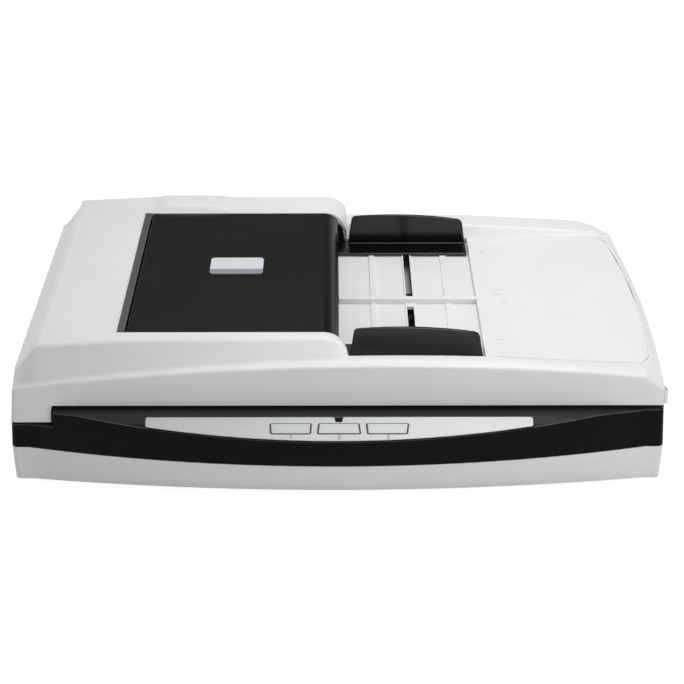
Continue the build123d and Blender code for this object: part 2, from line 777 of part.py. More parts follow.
motor_turn = mesh_turn(drive_centre, reduction_teeth, 0.0, motor_spot, motor_teeth)
with BuildPart() as scan_pinion:
    gear_z(motor_spot, motor_teeth, motor_turn, 1.0, gear_low, gear_low + 5.0)
    disc_z(*motor_spot, 1.5, gear_low, 23.6)
keep(scan_pinion, "scan_pinion")

with BuildPart() as scan_motor:
    disc_z(*motor_spot, 13.5, motor_seat, motor_seat + 22.0)
    fillet(scan_motor.edges().filter_by(GeomType.CIRCLE).group_by(Axis.Z)[-1], 1.5)
    disc_z(*motor_spot, 2.5, motor_seat - 0.1, motor_seat + 1.0, mode=Mode.SUBTRACT)
keep(scan_motor, "scan_motor")

# Hinges: posts that slide up in the frame, pins, and leaves on the lid
pin_radius = 2.0
with BuildPart() as hinge_posts:
    for side in (-1, 1):
        x = side * hinge_x
        block(x - post_width / 2, x + post_width / 2, post_front, post_back, socket_low + 2, hinge_z - 5.0)
        for out in (-1, 1):
            inner = x + out * 8.3
            outer = x + out * post_width / 2
            low_x = min(inner, outer)
            high_x = max(inner, outer)
            block(low_x, high_x, post_front, post_back, hinge_z - 5.0, hinge_z)
            disc_x(hinge_y, hinge_z, knuckle_radius, low_x, high_x)
        disc_x(hinge_y, hinge_z, pin_radius + 0.02, x - 20, x + 20, mode=Mode.SUBTRACT)
        disc_x(hinge_y, hinge_z, knuckle_radius + loose, x - 8.3, x + 8.3, mode=Mode.SUBTRACT)
keep(hinge_posts, "hinge_posts")

with BuildPart() as hinge_pins:
    for side in (-1, 1):
        x = side * hinge_x
        disc_x(hinge_y, hinge_z, pin_radius, x - post_width / 2, x + post_width / 2)
keep(hinge_pins, "hinge_pins")

leaf_seat = behind(lid_back) - 1.8
leaf_half = 18.0
leaf_low = hinge_z + 6.5
leaf_high = 90.0
with BuildPart() as hinge_leaves:
    for side in (-1, 1):
        x = side * hinge_x
        block(x - leaf_half, x + leaf_half, leaf_seat, leaf_seat + 1.4, leaf_low, leaf_high)
        block(x - 7.8, x + 7.8, leaf_seat, leaf_seat + 1.4, 73.5, hinge_z + 7.0)
        block(x - 7.8, x + 7.8, leaf_seat, hinge_y, 74.0, hinge_z + 3.5)
        disc_x(hinge_y, hinge_z, knuckle_radius, x - 7.8, x + 7.8)
        disc_x(hinge_y, hinge_z, pin_radius + running, x - 8, x + 8, mode=Mode.SUBTRACT)
        for out in (-1, 1):
            with BuildSketch(Plane.XZ.offset(-(leaf_seat + 1.4))) as sink:
                with Locations((x + out * 12.0, 86.5)):
                    Circle(1.6)
            extrude(sink.sketch, amount=0.8, mode=Mode.SUBTRACT)
keep(hinge_leaves, "hinge_leaves")

# Lid: pale top shell with the feeder's cheeks and the hump over its gears
hump = (-162.7, -88.7, 266.0, 303.0)
hump_top = (-151.0, -106.0, 272.5, 297.0)
hump_rise = 6.0
lid_screw_spots = [(-226.0, 24.0), (-226.0, 282.0), (-48.0, 24.0), (-48.0, 288.0), (208.0, 12.0),
                   (200.0, 284.0)]
pivot_x = cover_left + 2.0
pivot_z = roof - 2.0
trim_left = cover_left - 6.4
bay_half = 112.0
bay_top = 79.0
opening_gap = 0.5


def hump_form(inset, low, high):
    """The raised housing over the feeder's gears."""
    with BuildPart() as form:
        for size, z, shrink in ((hump, low, inset * 1.6), (hump_top, high, inset)):
            x0, x1, d0, d1 = size
            with BuildSketch(Plane.XY.offset(z)):
                with Locations(((x0 + x1) / 2, behind((d0 + d1) / 2))):
                    Rectangle(x1 - x0 - 2 * shrink, d1 - d0 - 2 * shrink)
        loft(ruled=True)
    return form.part


def lid_bosses():
    """Screw bosses from the liner up to the inside of the lid."""
    with BuildPart() as bosses:
        for x, d in lid_screw_spots:
            disc_z(x, behind(d), 4.2, lid_bottom + liner_thick, 130.0)
        add(lid_solid(0.6), mode=Mode.INTERSECT)
    return bosses.part


with BuildPart() as lid_top_shell:
    add(lid_solid(0.0))
    add(lid_solid(wall), mode=Mode.SUBTRACT)
    add(lid_bosses())
    add(hump_form(0.0, roof - 1.0, roof + hump_rise))
    add(hump_form(wall, roof - wall - 0.5, roof + hump_rise - wall), mode=Mode.SUBTRACT)
    for x, d in lid_screw_spots:
        disc_z(x, behind(d), 1.6, 60.0, 84.0, mode=Mode.SUBTRACT)
    for d0, d1 in ((29.0, cover_front - 0.4), (cover_back + 0.4, 270.0)):
        block(pivot_x - 4, pivot_x + 4, behind(d0), behind(d1), roof - 5.5, roof - wall + 0.1)
    block(cover_left - opening_gap, 8.2, behind(cover_front - 0.4), behind(cover_back + 0.4), 80, 130,
          mode=Mode.SUBTRACT)
    extrude(tray_outline(0.0).moved(Location((0, 0, 80))), amount=50, mode=Mode.SUBTRACT)
    disc_y(pivot_x, pivot_z, 1.0 + running, behind(29.6), behind(269.4), mode=Mode.SUBTRACT)
    block(trim_left, cover_left - opening_gap, behind(cover_front - 0.4), behind(cover_back + 0.4),
          roof - 1.0, roof + 1, mode=Mode.SUBTRACT)
    block(238.0, 262.0, middle_y - bay_half, middle_y + bay_half, lid_bottom + liner_thick, bay_top,
          mode=Mode.SUBTRACT)
    for side in (-1, 1):
        x = side * hinge_x
        block(x - leaf_half - 0.2, x + leaf_half + 0.2, leaf_seat, leaf_seat + 6, leaf_low - 0.2,
              leaf_high + 0.2, mode=Mode.SUBTRACT)
        block(x - 8.0, x + 8.0, leaf_seat, leaf_seat + 6, 60.0, hinge_z + 7.0, mode=Mode.SUBTRACT)
keep(lid_top_shell, "lid_top_shell")

# Lid liner: closes the lid from below, with the pan of the deeper left end
liner_top = lid_bottom + liner_thick
gear_back = gear_front + gear_width
drive_centre_xz = (drive_x, drive_z)
pinch_spot = (drive_x + 3.7, drive_z + 13.95)
exit_pinch_radius = 2.4
exit_pinch_z = exit_z - exit_radius - exit_pinch_radius - loose
drive_teeth = 19
second_idler_teeth = 28
first_idler_teeth = 28
feeder_motor_teeth = 11
third_idler_teeth = 34
feed_teeth = 28
exit_teeth = 14
feed_centre = (feed_x, feed_z)
feeder_motor_centre = (-128.3, 95.5)
exit_reach = (feed_teeth + exit_teeth) / 2
exit_x = feed_x + math.sqrt(exit_reach ** 2 - (feed_z - exit_z) ** 2)
exit_centre = (exit_x, exit_z)
first_reach = (feeder_motor_teeth + first_idler_teeth) / 2
first_idler = (
    feeder_motor_centre[0] - first_reach * math.cos(math.radians(10)),
    feeder_motor_centre[1] - first_reach * math.sin(math.radians(10)),
)
second_idler = apex(
    first_idler, (first_idler_teeth + second_idler_teeth) / 2,
    drive_centre_xz, (second_idler_teeth + drive_teeth) / 2, -1,
)
third_idler = apex(
    feeder_motor_centre, (feeder_motor_teeth + third_idler_teeth) / 2,
    feed_centre, (third_idler_teeth + feed_teeth) / 2, -1,
)
side_front = (31.0, 33.2)
side_back = (265.8, 268.0)
pinch_half = 80.0

with BuildPart() as lid_liner:
    with BuildSketch(Plane.XY.offset(lid_bottom)):
        add(lid_outline(3.3))
    extrude(amount=liner_thick)
    block(-260, step_x - 5.5, -200, 200, 60, 80, mode=Mode.SUBTRACT)
    block(step_x - 5.5, step_x - 3.5, behind(6), behind(lid_back - 6), step_bottom + 1.0, liner_top)
    with BuildSketch(Plane.XY.offset(step_bottom + 1.0)) as pan:
        add(lid_outline(3.3))
        with Locations((300 + step_x - 5.5, 0)):
            Rectangle(600, 400, mode=Mode.SUBTRACT)
    extrude(pan.sketch, amount=liner_thick)
    block(-213.0, -112.0, middle_y - bay_half, middle_y + bay_half, 60, 80, mode=Mode.SUBTRACT)
    block(-213.0, -157.0, middle_y + bay_half - 1, gear_back + 3.0, 60, 80, mode=Mode.SUBTRACT)
    block(-213.0, -190.0, behind(side_front[1]), behind(side_back[0]), 60, 80, mode=Mode.SUBTRACT)
    block(exit_x - 4.0, exit_x + 4.0, middle_y - 78.0, middle_y + 78.0, 60, 80, mode=Mode.SUBTRACT)
    for side in (-1, 1):
        ear = middle_y + side * (pinch_half + 1.0)
        block(exit_x - 3.0, exit_x + 3.0, ear - 1.5, ear + 1.5, liner_top - 1, exit_pinch_z + 2.2)
        disc_y(exit_x, exit_pinch_z, 1.2 + running, ear - 3.0, ear + 3.0, mode=Mode.SUBTRACT)
    slab_y([(-112.5, 70.0), (-108.0, 73.5), (-104.0, 72.0)], middle_y - 100, middle_y + 100)
    for x, d in lid_screw_spots:
        low = step_bottom if x < step_x else lid_bottom
        disc_z(x, behind(d), 1.7, low - 1, low + 5, mode=Mode.SUBTRACT)
keep(lid_liner, "lid_liner")

with BuildPart() as lid_screws:
    for x, d in lid_screw_spots:
        low = step_bottom + 1.0 if x < step_x else lid_bottom
        disc_z(x, behind(d), 2.8, low - 1.2, low)
        disc_z(x, behind(d), 1.4, low, 83.0)
    for x, d in lid_screw_spots:
        low = step_bottom + 1.0 if x < step_x else lid_bottom
        block(x - 1.6, x + 1.6, behind(d) - 0.3, behind(d) + 0.3, low - 1.6, low - 0.6, mode=Mode.SUBTRACT)
keep(lid_screws, "lid_screws")

# White foam pad that presses the page flat, and the rubber bumpers of the lid
pad_margin = 3.0
with BuildPart() as document_pad:
    block(
        bed_left - pad_margin, bed_right + pad_margin,
        middle_y - bed_depth / 2 - pad_margin, middle_y + bed_depth / 2 + pad_margin,
        lid_bottom - pad_thick, lid_bottom,
    )
    chamfer(document_pad.edges().filter_by(Axis.Z), 3.0)
keep(document_pad, "document_pad")

bumper_spots = [(-105.0, 12.0), (226.0, 14.0), (-205.0, 290.0), (220.0, 282.0)]
with BuildPart() as lid_bumpers:
    for x, d in bumper_spots:
        disc_z(x, behind(d), 3.0, frame_top + loose, lid_bottom)
keep(lid_bumpers, "lid_bumpers")

# Sheet tray with its recess, ribs and the slots of the guides
slot_left = slot_x - slot_width / 2
slot_right = slot_x + slot_width / 2
pinion_radius = pinion_teeth / 2
rack_high = recess_floor - tray_thick - 0.5
rack_low = rack_high - rack_thick
recess_front = 37.4
rib_spots = [(27.0, 31.6), (slot_x - 4.0, slot_x + 4.0), (88.0, 93.5)]
cross_rib = (141.4, 147.0)
stem_front = (46.0, 58.0)
stem_back = (242.0, 254.0)
retainer_low = rack_low - 1.5
with BuildPart() as feeder_tray:
    extrude(tray_outline(0.25).moved(Location((0, 0, liner_top))), amount=tray_top - liner_top)
    block(-10, 260, behind(43.5), behind(261.5), 70, recess_floor - tray_thick, mode=Mode.SUBTRACT)
    block(recess_right + tray_thick, 260, behind(43.5), behind(261.5), 70, tray_top - tray_thick,
          mode=Mode.SUBTRACT)
    block(-10, recess_right, behind(recess_front), behind(268), recess_floor, 100, mode=Mode.SUBTRACT)
    for x0, x1 in rib_spots:
        block(x0, x1, behind(45.0), behind(262.0), recess_floor, recess_floor + rib_height)
    block(1.0, recess_right, behind(cross_rib[0]), behind(cross_rib[1]), recess_floor, tray_top)
    for d0, d1 in ((45.7, 135.0), (153.5, 254.3)):
        block(slot_left, slot_right, behind(d0), behind(d1), 80, 95, mode=Mode.SUBTRACT)
    disc_z(slot_x, middle_y, 2.0, retainer_low + 1.2, recess_floor)
    for x in (slot_x - 16.5, slot_x + 16.5):
        disc_z(x, middle_y, 1.8, retainer_low + 1.2, recess_floor)
keep(feeder_tray, "feeder_tray")

with BuildPart() as rack_retainer:
    block(slot_x - 19, slot_x + 19, middle_y - 24, middle_y + 24, retainer_low, retainer_low + 1.2)
    chamfer(rack_retainer.edges().filter_by(Axis.Z), 3.0)
keep(rack_retainer, "rack_retainer")

with BuildPart() as guide_pinion:
    gear_z((slot_x, middle_y), pinion_teeth, 0.0, 2.0 + running, rack_low, rack_high)
keep(guide_pinion, "guide_pinion")


def rack_teeth(side, start, end):
    """Teeth of a rack beside the pinion, in step with the pinion's gaps."""
    pitch = math.pi
    line = slot_x + side * pinion_radius
    gap_at = middle_y + pitch / 2
    count = int((end - start) / pitch) + 2
    first = math.ceil((start - gap_at) / pitch)
    for step in range(first, first + count):
        y = gap_at + step * pitch
        if start + 1.2 < y < end - 1.2:
            points = [
                (line + side * 1.1, y - 1.05), (line - side * 0.7, y - 0.4),
                (line - side * 0.7, y + 0.4), (line + side * 1.1, y + 1.05),
            ]
            slab_z(points, rack_low, rack_high)


def edge_guide(inner, toward, stem, side):
    """A sliding paper guide: wall with an arched top, foot, stem through the slot, and rack."""
    outer = inner - toward * guide_thick
    foot_low = recess_floor + rib_height + loose
    crown_left = (guide_left + 5.2, guide_height - 1.6)
    crown_right = (guide_right - 7.0, guide_height - 4.2)
    with BuildPart() as guide:
        with BuildSketch(Plane.XZ.offset(-max(inner, outer))) as wall_face:
            with BuildLine():
                Polyline(crown_left, (guide_left + 3.4, guide_height - 3.4), (guide_left, foot_low),
                         (guide_right, foot_low), (guide_right - 2.7, guide_height - 8.0),
                         (guide_right - 3.9, guide_height - 5.6), crown_right)
                ThreePointArc(crown_right, (50.0, guide_height), crown_left)
            make_face()
        extrude(wall_face.sketch, amount=guide_thick)
        foot = inner + toward * foot_reach
        block(-3.0, guide_right + 0.5, min(outer, foot), max(outer, foot), foot_low, foot_low + foot_thick)
        y0, y1 = stem
        block(slot_left + loose, slot_right - loose, y0, y1, rack_low, foot_low + 0.5)
        bar_in = slot_x + side * (pinion_radius + 1.05)
        bar_out = bar_in + side * 4.0
        block(min(slot_x, bar_out), max(slot_x, bar_out), y0, y1, rack_low, rack_high)
        end = middle_y + toward * 12.0
        rack_start = y0 if toward > 0 else y1
        block(min(bar_in, bar_out), max(bar_in, bar_out), min(rack_start, end), max(rack_start, end),
              rack_low, rack_high)
        inside = (y1, end) if toward > 0 else (end, y0)
        rack_teeth(side, inside[0], inside[1])
    return guide


front_guide = edge_guide(middle_y - paper_width / 2, 1, (behind(stem_front[0]), behind(stem_front[1])), -1)
keep(front_guide, "front_guide")
rear_guide = edge_guide(middle_y + paper_width / 2, -1, (behind(stem_back[0]), behind(stem_back[1])), 1)
keep(rear_guide, "rear_guide")

# Feeder frame: lower sheet guide and the side walls that carry the shafts
floor_low = path_top - tray_thick
flag_x = -50.0
flag_y = middle_y + 40.0
flag_z = 81.3
pad_left = feed_x - 7.0
drive_end = gear_back + 1.0
plate_back = gear_back + 2.1
motor_plate_half = 18.0
with BuildPart() as feeder_frame:
    block(drive_x + 10.5, 0.1, behind(side_front[0]), behind(side_back[1]), floor_low, path_top)
    for d0, d1 in (side_front, side_back):
        block(drive_x - 16.5, 0.1, behind(d0), behind(d1), liner_top, 108.0)
        block(-8.0, 1.0, behind(d0), behind(d1), 101.0, 110.0, mode=Mode.SUBTRACT)
    for x in (-20.0, -150.0):
        block(x, x + 6, behind(side_front[0]), behind(side_front[1] + 3.6), 106.0,
              roof - cover_thick - loose)
        block(x, x + 6, behind(side_back[0] - 3.6), behind(side_back[1]), 106.0, roof - cover_thick - loose)
    for x in (strip_x - 12.5, strip_x + 10.5):
        block(x, x + 2.0, middle_y - 105, middle_y + 105, 69.6, floor_low)
    for centre, radius in (
        (drive_centre_xz, shaft_radius), (feed_centre, shaft_radius), (exit_centre, 2.0), (pinch_spot, 1.5),
    ):
        disc_y(*centre, radius + running, behind(side_front[0]) - 1, behind(side_back[1]) + 1,
               mode=Mode.SUBTRACT)
    block(pad_left, pad_left + 13, middle_y - 11, middle_y + 11, path_top - 1.0, 90, mode=Mode.SUBTRACT)
    block(flag_x - 12, flag_x + 3.2, flag_y - 2.0, flag_y + 2.0, 80, 90, mode=Mode.SUBTRACT)
    for side in (-1, 1):
        ear = flag_y + side * 3.4
        block(flag_x - 3, flag_x + 3, ear - 1.2, ear + 1.2, flag_z - 2.6, floor_low)
        disc_y(flag_x, flag_z, 1.2 + running, ear - 2, ear + 2, mode=Mode.SUBTRACT)
    for centre in (first_idler, second_idler, third_idler):
        disc_y(*centre, 2.0, behind(side_back[1]) - 0.5, gear_back + 0.6)
    motor_x, motor_z = feeder_motor_centre
    block(motor_x - motor_plate_half, motor_x + motor_plate_half, gear_back + 0.8, plate_back,
          liner_top, motor_z + 15)
    for z in (76.0, 106.0):
        disc_y(motor_x, z, 2.0, behind(side_back[1]) - 0.5, gear_back + 1.0)
    disc_y(motor_x, motor_z, 2.5, gear_back, plate_back + 1, mode=Mode.SUBTRACT)
keep(feeder_frame, "feeder_frame")

with BuildPart() as turn_chute:
    with BuildSketch(Plane.XZ.offset(-behind(side_back[0]))) as arc:
        with BuildLine():
            start = 97.0
            end = 211.0
            inner_r = drive_radius + 2.5
            outer_r = drive_radius + 4.5
            CenterArc(drive_centre_xz, inner_r, start, end - start)
            CenterArc(drive_centre_xz, outer_r, start, end - start)
            for angle in (start, end):
                c = math.cos(math.radians(angle))
                n = math.sin(math.radians(angle))
                Line(
                    (drive_x + inner_r * c, drive_z + inner_r * n),
                    (drive_x + outer_r * c, drive_z + outer_r * n),
                )
        make_face()
    extrude(arc.sketch, amount=behind(side_back[0]) - behind(side_front[1]))
keep(turn_chute, "turn_chute")

with BuildPart() as background_plate:
    block(strip_x - 14, strip_x + 14, middle_y - 108, middle_y + 108, 67.6, 69.6)
    chamfer(background_plate.edges().filter_by(Axis.Y).group_by(Axis.Z)[0], 1.2)
keep(background_plate, "background_plate")

with BuildPart() as separation_pad:
    block(pad_left + 0.2, pad_left + 12.8, middle_y - 10.8, middle_y + 10.8, path_top - 1.0, path_top + 0.2)
keep(separation_pad, "separation_pad")

# Rollers, their shafts and the gear train behind the rear wall
drive_turn = 0.0
second_turn = mesh_turn(drive_centre_xz, drive_teeth, drive_turn, second_idler, second_idler_teeth)
first_turn = mesh_turn(second_idler, second_idler_teeth, second_turn, first_idler, first_idler_teeth)
motor_gear_turn = mesh_turn(first_idler, first_idler_teeth, first_turn, feeder_motor_centre,
                            feeder_motor_teeth)
third_turn = mesh_turn(feeder_motor_centre, feeder_motor_teeth, motor_gear_turn, third_idler,
                       third_idler_teeth)
feed_turn = mesh_turn(third_idler, third_idler_teeth, third_turn, feed_centre, feed_teeth)
exit_turn = mesh_turn(feed_centre, feed_teeth, feed_turn, exit_centre, exit_teeth)
with BuildPart() as drive_shaft:
    disc_y(*drive_centre_xz, shaft_radius, behind(29.5), drive_end)
    gear_y(drive_centre_xz, drive_teeth, drive_turn, 0.0, gear_front, gear_back)
keep(drive_shaft, "drive_shaft")

with BuildPart() as drive_rollers:
    for y in (-80.0, 0.0, 80.0):
        disc_y(*drive_centre_xz, drive_radius, middle_y + y - 15, middle_y + y + 15)
    disc_y(*drive_centre_xz, shaft_radius + 0.02, middle_y - 110, middle_y + 110, mode=Mode.SUBTRACT)
keep(drive_rollers, "drive_rollers")

with BuildPart() as pinch_rollers:
    disc_y(*pinch_spot, 1.5, behind(side_front[0]) + 0.3, behind(side_back[1]) - 0.2)
    for y in (-80.0, 0.0, 80.0):
        disc_y(*pinch_spot, 4.0, middle_y + y - 8, middle_y + y + 8)
keep(pinch_rollers, "pinch_rollers")

with BuildPart() as feed_shaft:
    disc_y(*feed_centre, shaft_radius, behind(29.5), drive_end)
    gear_y(feed_centre, feed_teeth, feed_turn, 0.0, gear_front, gear_back)
keep(feed_shaft, "feed_shaft")

with BuildPart() as feed_roller:
    disc_y(*feed_centre, feed_radius, middle_y - 14, middle_y + 14)
    disc_y(*feed_centre, shaft_radius + 0.02, middle_y - 15, middle_y + 15, mode=Mode.SUBTRACT)
keep(feed_roller, "feed_roller")

arm_in = 16.0
arm_out = 18.5
with BuildPart() as pick_arm:
    for side in (-1, 1):
        y0 = middle_y + min(side * arm_in, side * arm_out)
        y1 = middle_y + max(side * arm_in, side * arm_out)
        disc_y(feed_x, feed_z, 5.5, y0, y1)
        disc_y(pick_x, pick_z, 4.5, y0, y1)
        slab_y([(feed_x, feed_z - 4), (pick_x, pick_z - 3.4), (pick_x, pick_z + 4.4), (feed_x, feed_z + 5.4)],
               y0, y1)
        disc_y(feed_x, feed_z, shaft_radius + running, y0, y1, mode=Mode.SUBTRACT)
        disc_y(pick_x, pick_z, 2.0 + running, y0, y1, mode=Mode.SUBTRACT)
    block(feed_x + 13, pick_x - 11, middle_y - arm_out, middle_y + arm_out, feed_z + 0.5, feed_z + 3.0)
keep(pick_arm, "pick_arm")

with BuildPart() as pick_roller:
    disc_y(pick_x, pick_z, pick_radius, middle_y - 14, middle_y + 14)
    disc_y(pick_x, pick_z, 2.0, middle_y - arm_out - 1, middle_y + arm_out + 1)
keep(pick_roller, "pick_roller")

with BuildPart() as exit_roller:
    disc_y(*exit_centre, 2.0, behind(29.8), drive_end)
    gear_y(exit_centre, exit_teeth, exit_turn, 0.0, gear_front, gear_back)
    for side in (-1, 1):
        disc_y(*exit_centre, exit_radius, middle_y + side * 60 - 9, middle_y + side * 60 + 9)
keep(exit_roller, "exit_roller")

with BuildPart() as exit_pinch:
    disc_y(exit_x, exit_pinch_z, 1.2, middle_y - pinch_half - 2.5, middle_y + pinch_half + 2.5)
    for side in (-1, 1):
        disc_y(exit_x, exit_pinch_z, exit_pinch_radius, middle_y + side * 60 - 8, middle_y + side * 60 + 8)
keep(exit_pinch, "exit_pinch")

idler_gears = {
    "idler_gear_left": (second_idler, second_idler_teeth, second_turn),
    "idler_gear_middle": (first_idler, first_idler_teeth, first_turn),
    "idler_gear_right": (third_idler, third_idler_teeth, third_turn),
}
for name, (centre, teeth, turn) in idler_gears.items():
    with BuildPart() as gear:
        gear_y(centre, teeth, turn, 2.0 + running, gear_front, gear_back)
    keep(gear, name)

with BuildPart() as feeder_motor_gear:
    gear_y(feeder_motor_centre, feeder_motor_teeth, motor_gear_turn, 1.0, gear_front, gear_back)
    disc_y(*feeder_motor_centre, 1.5, gear_front, plate_back - 0.4)
keep(feeder_motor_gear, "feeder_motor_gear")

motor_radius = 16.0
with BuildPart() as feeder_motor:
    disc_y(*feeder_motor_centre, motor_radius, plate_back, plate_back + 20)
    fillet(feeder_motor.edges().filter_by(GeomType.CIRCLE).group_by(Axis.Y)[-1], 1.5)
keep(feeder_motor, "feeder_motor")

with BuildPart() as sensor_flag:
    disc_y(flag_x, flag_z, 2.2, flag_y - 1.2, flag_y + 1.2)
    disc_y(flag_x, flag_z, 1.2, flag_y - 4.2, flag_y + 4.2)
    flag_tip = path_top + 4.4
    slab_y([(flag_x - 1.2, flag_z), (flag_x + 1.2, flag_z), (flag_x + 0.8, flag_tip), (flag_x - 0.6, flag_tip)],
           flag_y - 1.2, flag_y + 1.2)
keep(sensor_flag, "sensor_flag")

# Black feeder cover with its rounded lip, pins, trim strip and blank plaque
cover_y = (behind(cover_front + 0.4), behind(cover_back - 0.4))
with BuildPart() as adf_cover:
    with BuildSketch(Plane.XZ.offset(-cover_y[1])) as profile:
        with BuildLine():
            Line((pivot_x, roof), (-lip_run, roof))
            ThreePointArc((-lip_run, roof), (-lip_run * 0.38, roof - lip_drop * 0.30), (0, roof - lip_drop))
            Line((0, roof - lip_drop), (0, lip_bottom))
            Line((0, lip_bottom), (-wall, lip_bottom))
            Line((-wall, lip_bottom), (-wall, roof - lip_drop - 1.2))
            ThreePointArc(
                (-wall, roof - lip_drop - 1.2),
                (-lip_run * 0.55, roof - cover_thick - lip_drop * 0.22),
                (-lip_run - 1, roof - cover_thick),
            )
            Line((-lip_run - 1, roof - cover_thick), (pivot_x, roof - cover_thick))
            Line((pivot_x, roof - cover_thick), (pivot_x, roof))
        make_face()
    extrude(profile.sketch, amount=cover_y[1] - cover_y[0])
    disc_y(pivot_x, pivot_z, 2.0, *cover_y)
    disc_y(pivot_x, pivot_z, 1.0, behind(30.0), cover_y[0] + 1)
    disc_y(pivot_x, pivot_z, 1.0, cover_y[1] - 1, behind(269.0))
    block(-104.0, -60.5, behind(138.0), behind(170.0), roof - 0.6, roof + 1, mode=Mode.SUBTRACT)
keep(adf_cover, "adf_cover")

with BuildPart() as cover_plaque:
    block(-103.8, -60.7, behind(138.2), behind(169.8), roof - 0.6, roof + 0.5)
    fillet(cover_plaque.edges().filter_by(Axis.Z), 4.0)
keep(cover_plaque, "cover_plaque")

with BuildPart() as cover_trim:
    block(trim_left + 0.1, cover_left - opening_gap - 0.1, behind(cover_front - 0.3),
          behind(cover_back + 0.3), roof - 1.0, roof + 0.2)
    block(trim_left + 1.6, trim_left + 2.6, behind(cover_front), behind(cover_back), roof - 0.2, roof + 0.5)
keep(cover_trim, "cover_trim")
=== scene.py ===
"""Looks of a desktop document scanner, built round its solids. Metres, +X right, +Y away, +Z up."""

import math

import bpy
import numpy as np
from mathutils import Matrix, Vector


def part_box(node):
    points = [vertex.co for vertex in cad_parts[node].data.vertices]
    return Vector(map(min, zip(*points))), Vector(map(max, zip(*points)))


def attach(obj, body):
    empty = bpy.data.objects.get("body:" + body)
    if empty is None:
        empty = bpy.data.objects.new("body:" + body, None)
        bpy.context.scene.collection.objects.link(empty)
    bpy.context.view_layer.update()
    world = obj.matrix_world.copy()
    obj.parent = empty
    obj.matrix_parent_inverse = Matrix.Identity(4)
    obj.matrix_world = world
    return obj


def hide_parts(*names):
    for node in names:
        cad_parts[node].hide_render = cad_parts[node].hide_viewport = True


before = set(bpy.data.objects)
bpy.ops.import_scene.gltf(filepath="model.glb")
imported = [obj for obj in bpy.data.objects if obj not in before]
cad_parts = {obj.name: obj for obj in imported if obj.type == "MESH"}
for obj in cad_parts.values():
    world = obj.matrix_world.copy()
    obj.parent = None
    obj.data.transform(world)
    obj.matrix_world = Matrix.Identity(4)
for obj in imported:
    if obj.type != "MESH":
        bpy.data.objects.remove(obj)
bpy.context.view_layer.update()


# The studio: a seamless white floor with even white walls low down and a dim
# ceiling, one camera that looks down on the front, and four large soft lamps.
def rgb(code):
    """Linear colour of an sRGB hex code: the sRGB curve undone for each channel."""
    parts = [int(code[i:i + 2], 16) / 255 for i in (1, 3, 5)]
    return [c / 12.92 if c <= 0.04045 else ((c + 0.055) / 1.055) ** 2.4 for c in parts] + [1.0]


def add(tree, kind, inputs=None, **settings):
    """Adds one shader node with its settings; inputs gives each socket a value or another node's output."""
    made = tree.nodes.new(kind)
    for name, value in settings.items():
        setattr(made, name, value)
    for socket, value in (inputs or {}).items():
        if isinstance(value, bpy.types.NodeSocket):
            tree.links.new(value, made.inputs[socket])
        else:
            made.inputs[socket].default_value = value
    return made


def camera_and_shine(tree):
    """1 for rays from the camera, from gloss and through glass, 0 for the rest."""
    path = add(tree, "ShaderNodeLightPath")
    seen = add(tree, "ShaderNodeMath", {0: path.outputs["Is Camera Ray"], 1: path.outputs["Is Glossy Ray"]},
               operation="MAXIMUM")
    return add(tree, "ShaderNodeMath", {0: seen.outputs[0], 1: path.outputs["Is Transmission Ray"]},
               operation="MAXIMUM")


def new_material(name):
    """An empty node material, and its node tree."""
    material = bpy.data.materials.new(name)
    material.use_nodes = True
    material.node_tree.nodes.clear()
    return material, material.node_tree


scene = bpy.context.scene
scene.view_settings.view_transform = "Standard"
world = bpy.data.worlds.new("studio")
scene.world = world
world.use_nodes = True
sky = world.node_tree
sky.nodes.clear()
shine = camera_and_shine(sky)
soft_light = 0.26
wall_foot, wall_top = 0.12, 0.36
ceiling_glow = 0.05
soft = add(sky, "ShaderNodeBackground", {"Color": rgb("#ffffff"), "Strength": soft_light})
heading = add(sky, "ShaderNodeTexCoord")
rise = add(sky, "ShaderNodeSeparateXYZ", {0: heading.outputs["Generated"]})
walls = add(sky, "ShaderNodeMapRange", {
    "Value": rise.outputs["Z"], "From Min": wall_foot, "From Max": wall_top,
    "To Min": 1.0, "To Max": ceiling_glow}, interpolation_type="SMOOTHSTEP")
bright = add(sky, "ShaderNodeBackground", {"Color": rgb("#ffffff"), "Strength": walls.outputs[0]})
mixed = add(sky, "ShaderNodeMixShader", {0: shine.outputs[0], 1: soft.outputs[0], 2: bright.outputs[0]})
add(sky, "ShaderNodeOutputWorld", {"Surface": mixed.outputs[0]})

floor_mesh = bpy.data.meshes.new("floor")
floor_half = 6.0
floor_corners = [(x * floor_half, y * floor_half, 0) for x, y in ((-1, -1), (1, -1), (1, 1), (-1, 1))]
floor_mesh.from_pydata(floor_corners, [], [(0, 1, 2, 3)])
floor = bpy.data.objects.new("floor", floor_mesh)
scene.collection.objects.link(floor)
paper, sheet = new_material("white_backdrop_paper")
matte = add(sheet, "ShaderNodeBsdfPrincipled", {"Base Color": rgb("#dadada"), "Roughness": 0.9})
glow_share, glow = 0.7, 0.93
lit = add(sheet, "ShaderNodeEmission", {"Color": rgb("#ffffff"), "Strength": glow / glow_share})
seen = camera_and_shine(sheet)
part = add(sheet, "ShaderNodeMath", {0: seen.outputs[0], 1: glow_share}, operation="MULTIPLY")
both = add(sheet, "ShaderNodeMixShader", {0: part.outputs[0], 1: matte.outputs[0], 2: lit.outputs[0]})
add(sheet, "ShaderNodeOutputMaterial", {"Surface": both.outputs[0]})
floor_mesh.materials.append(paper)

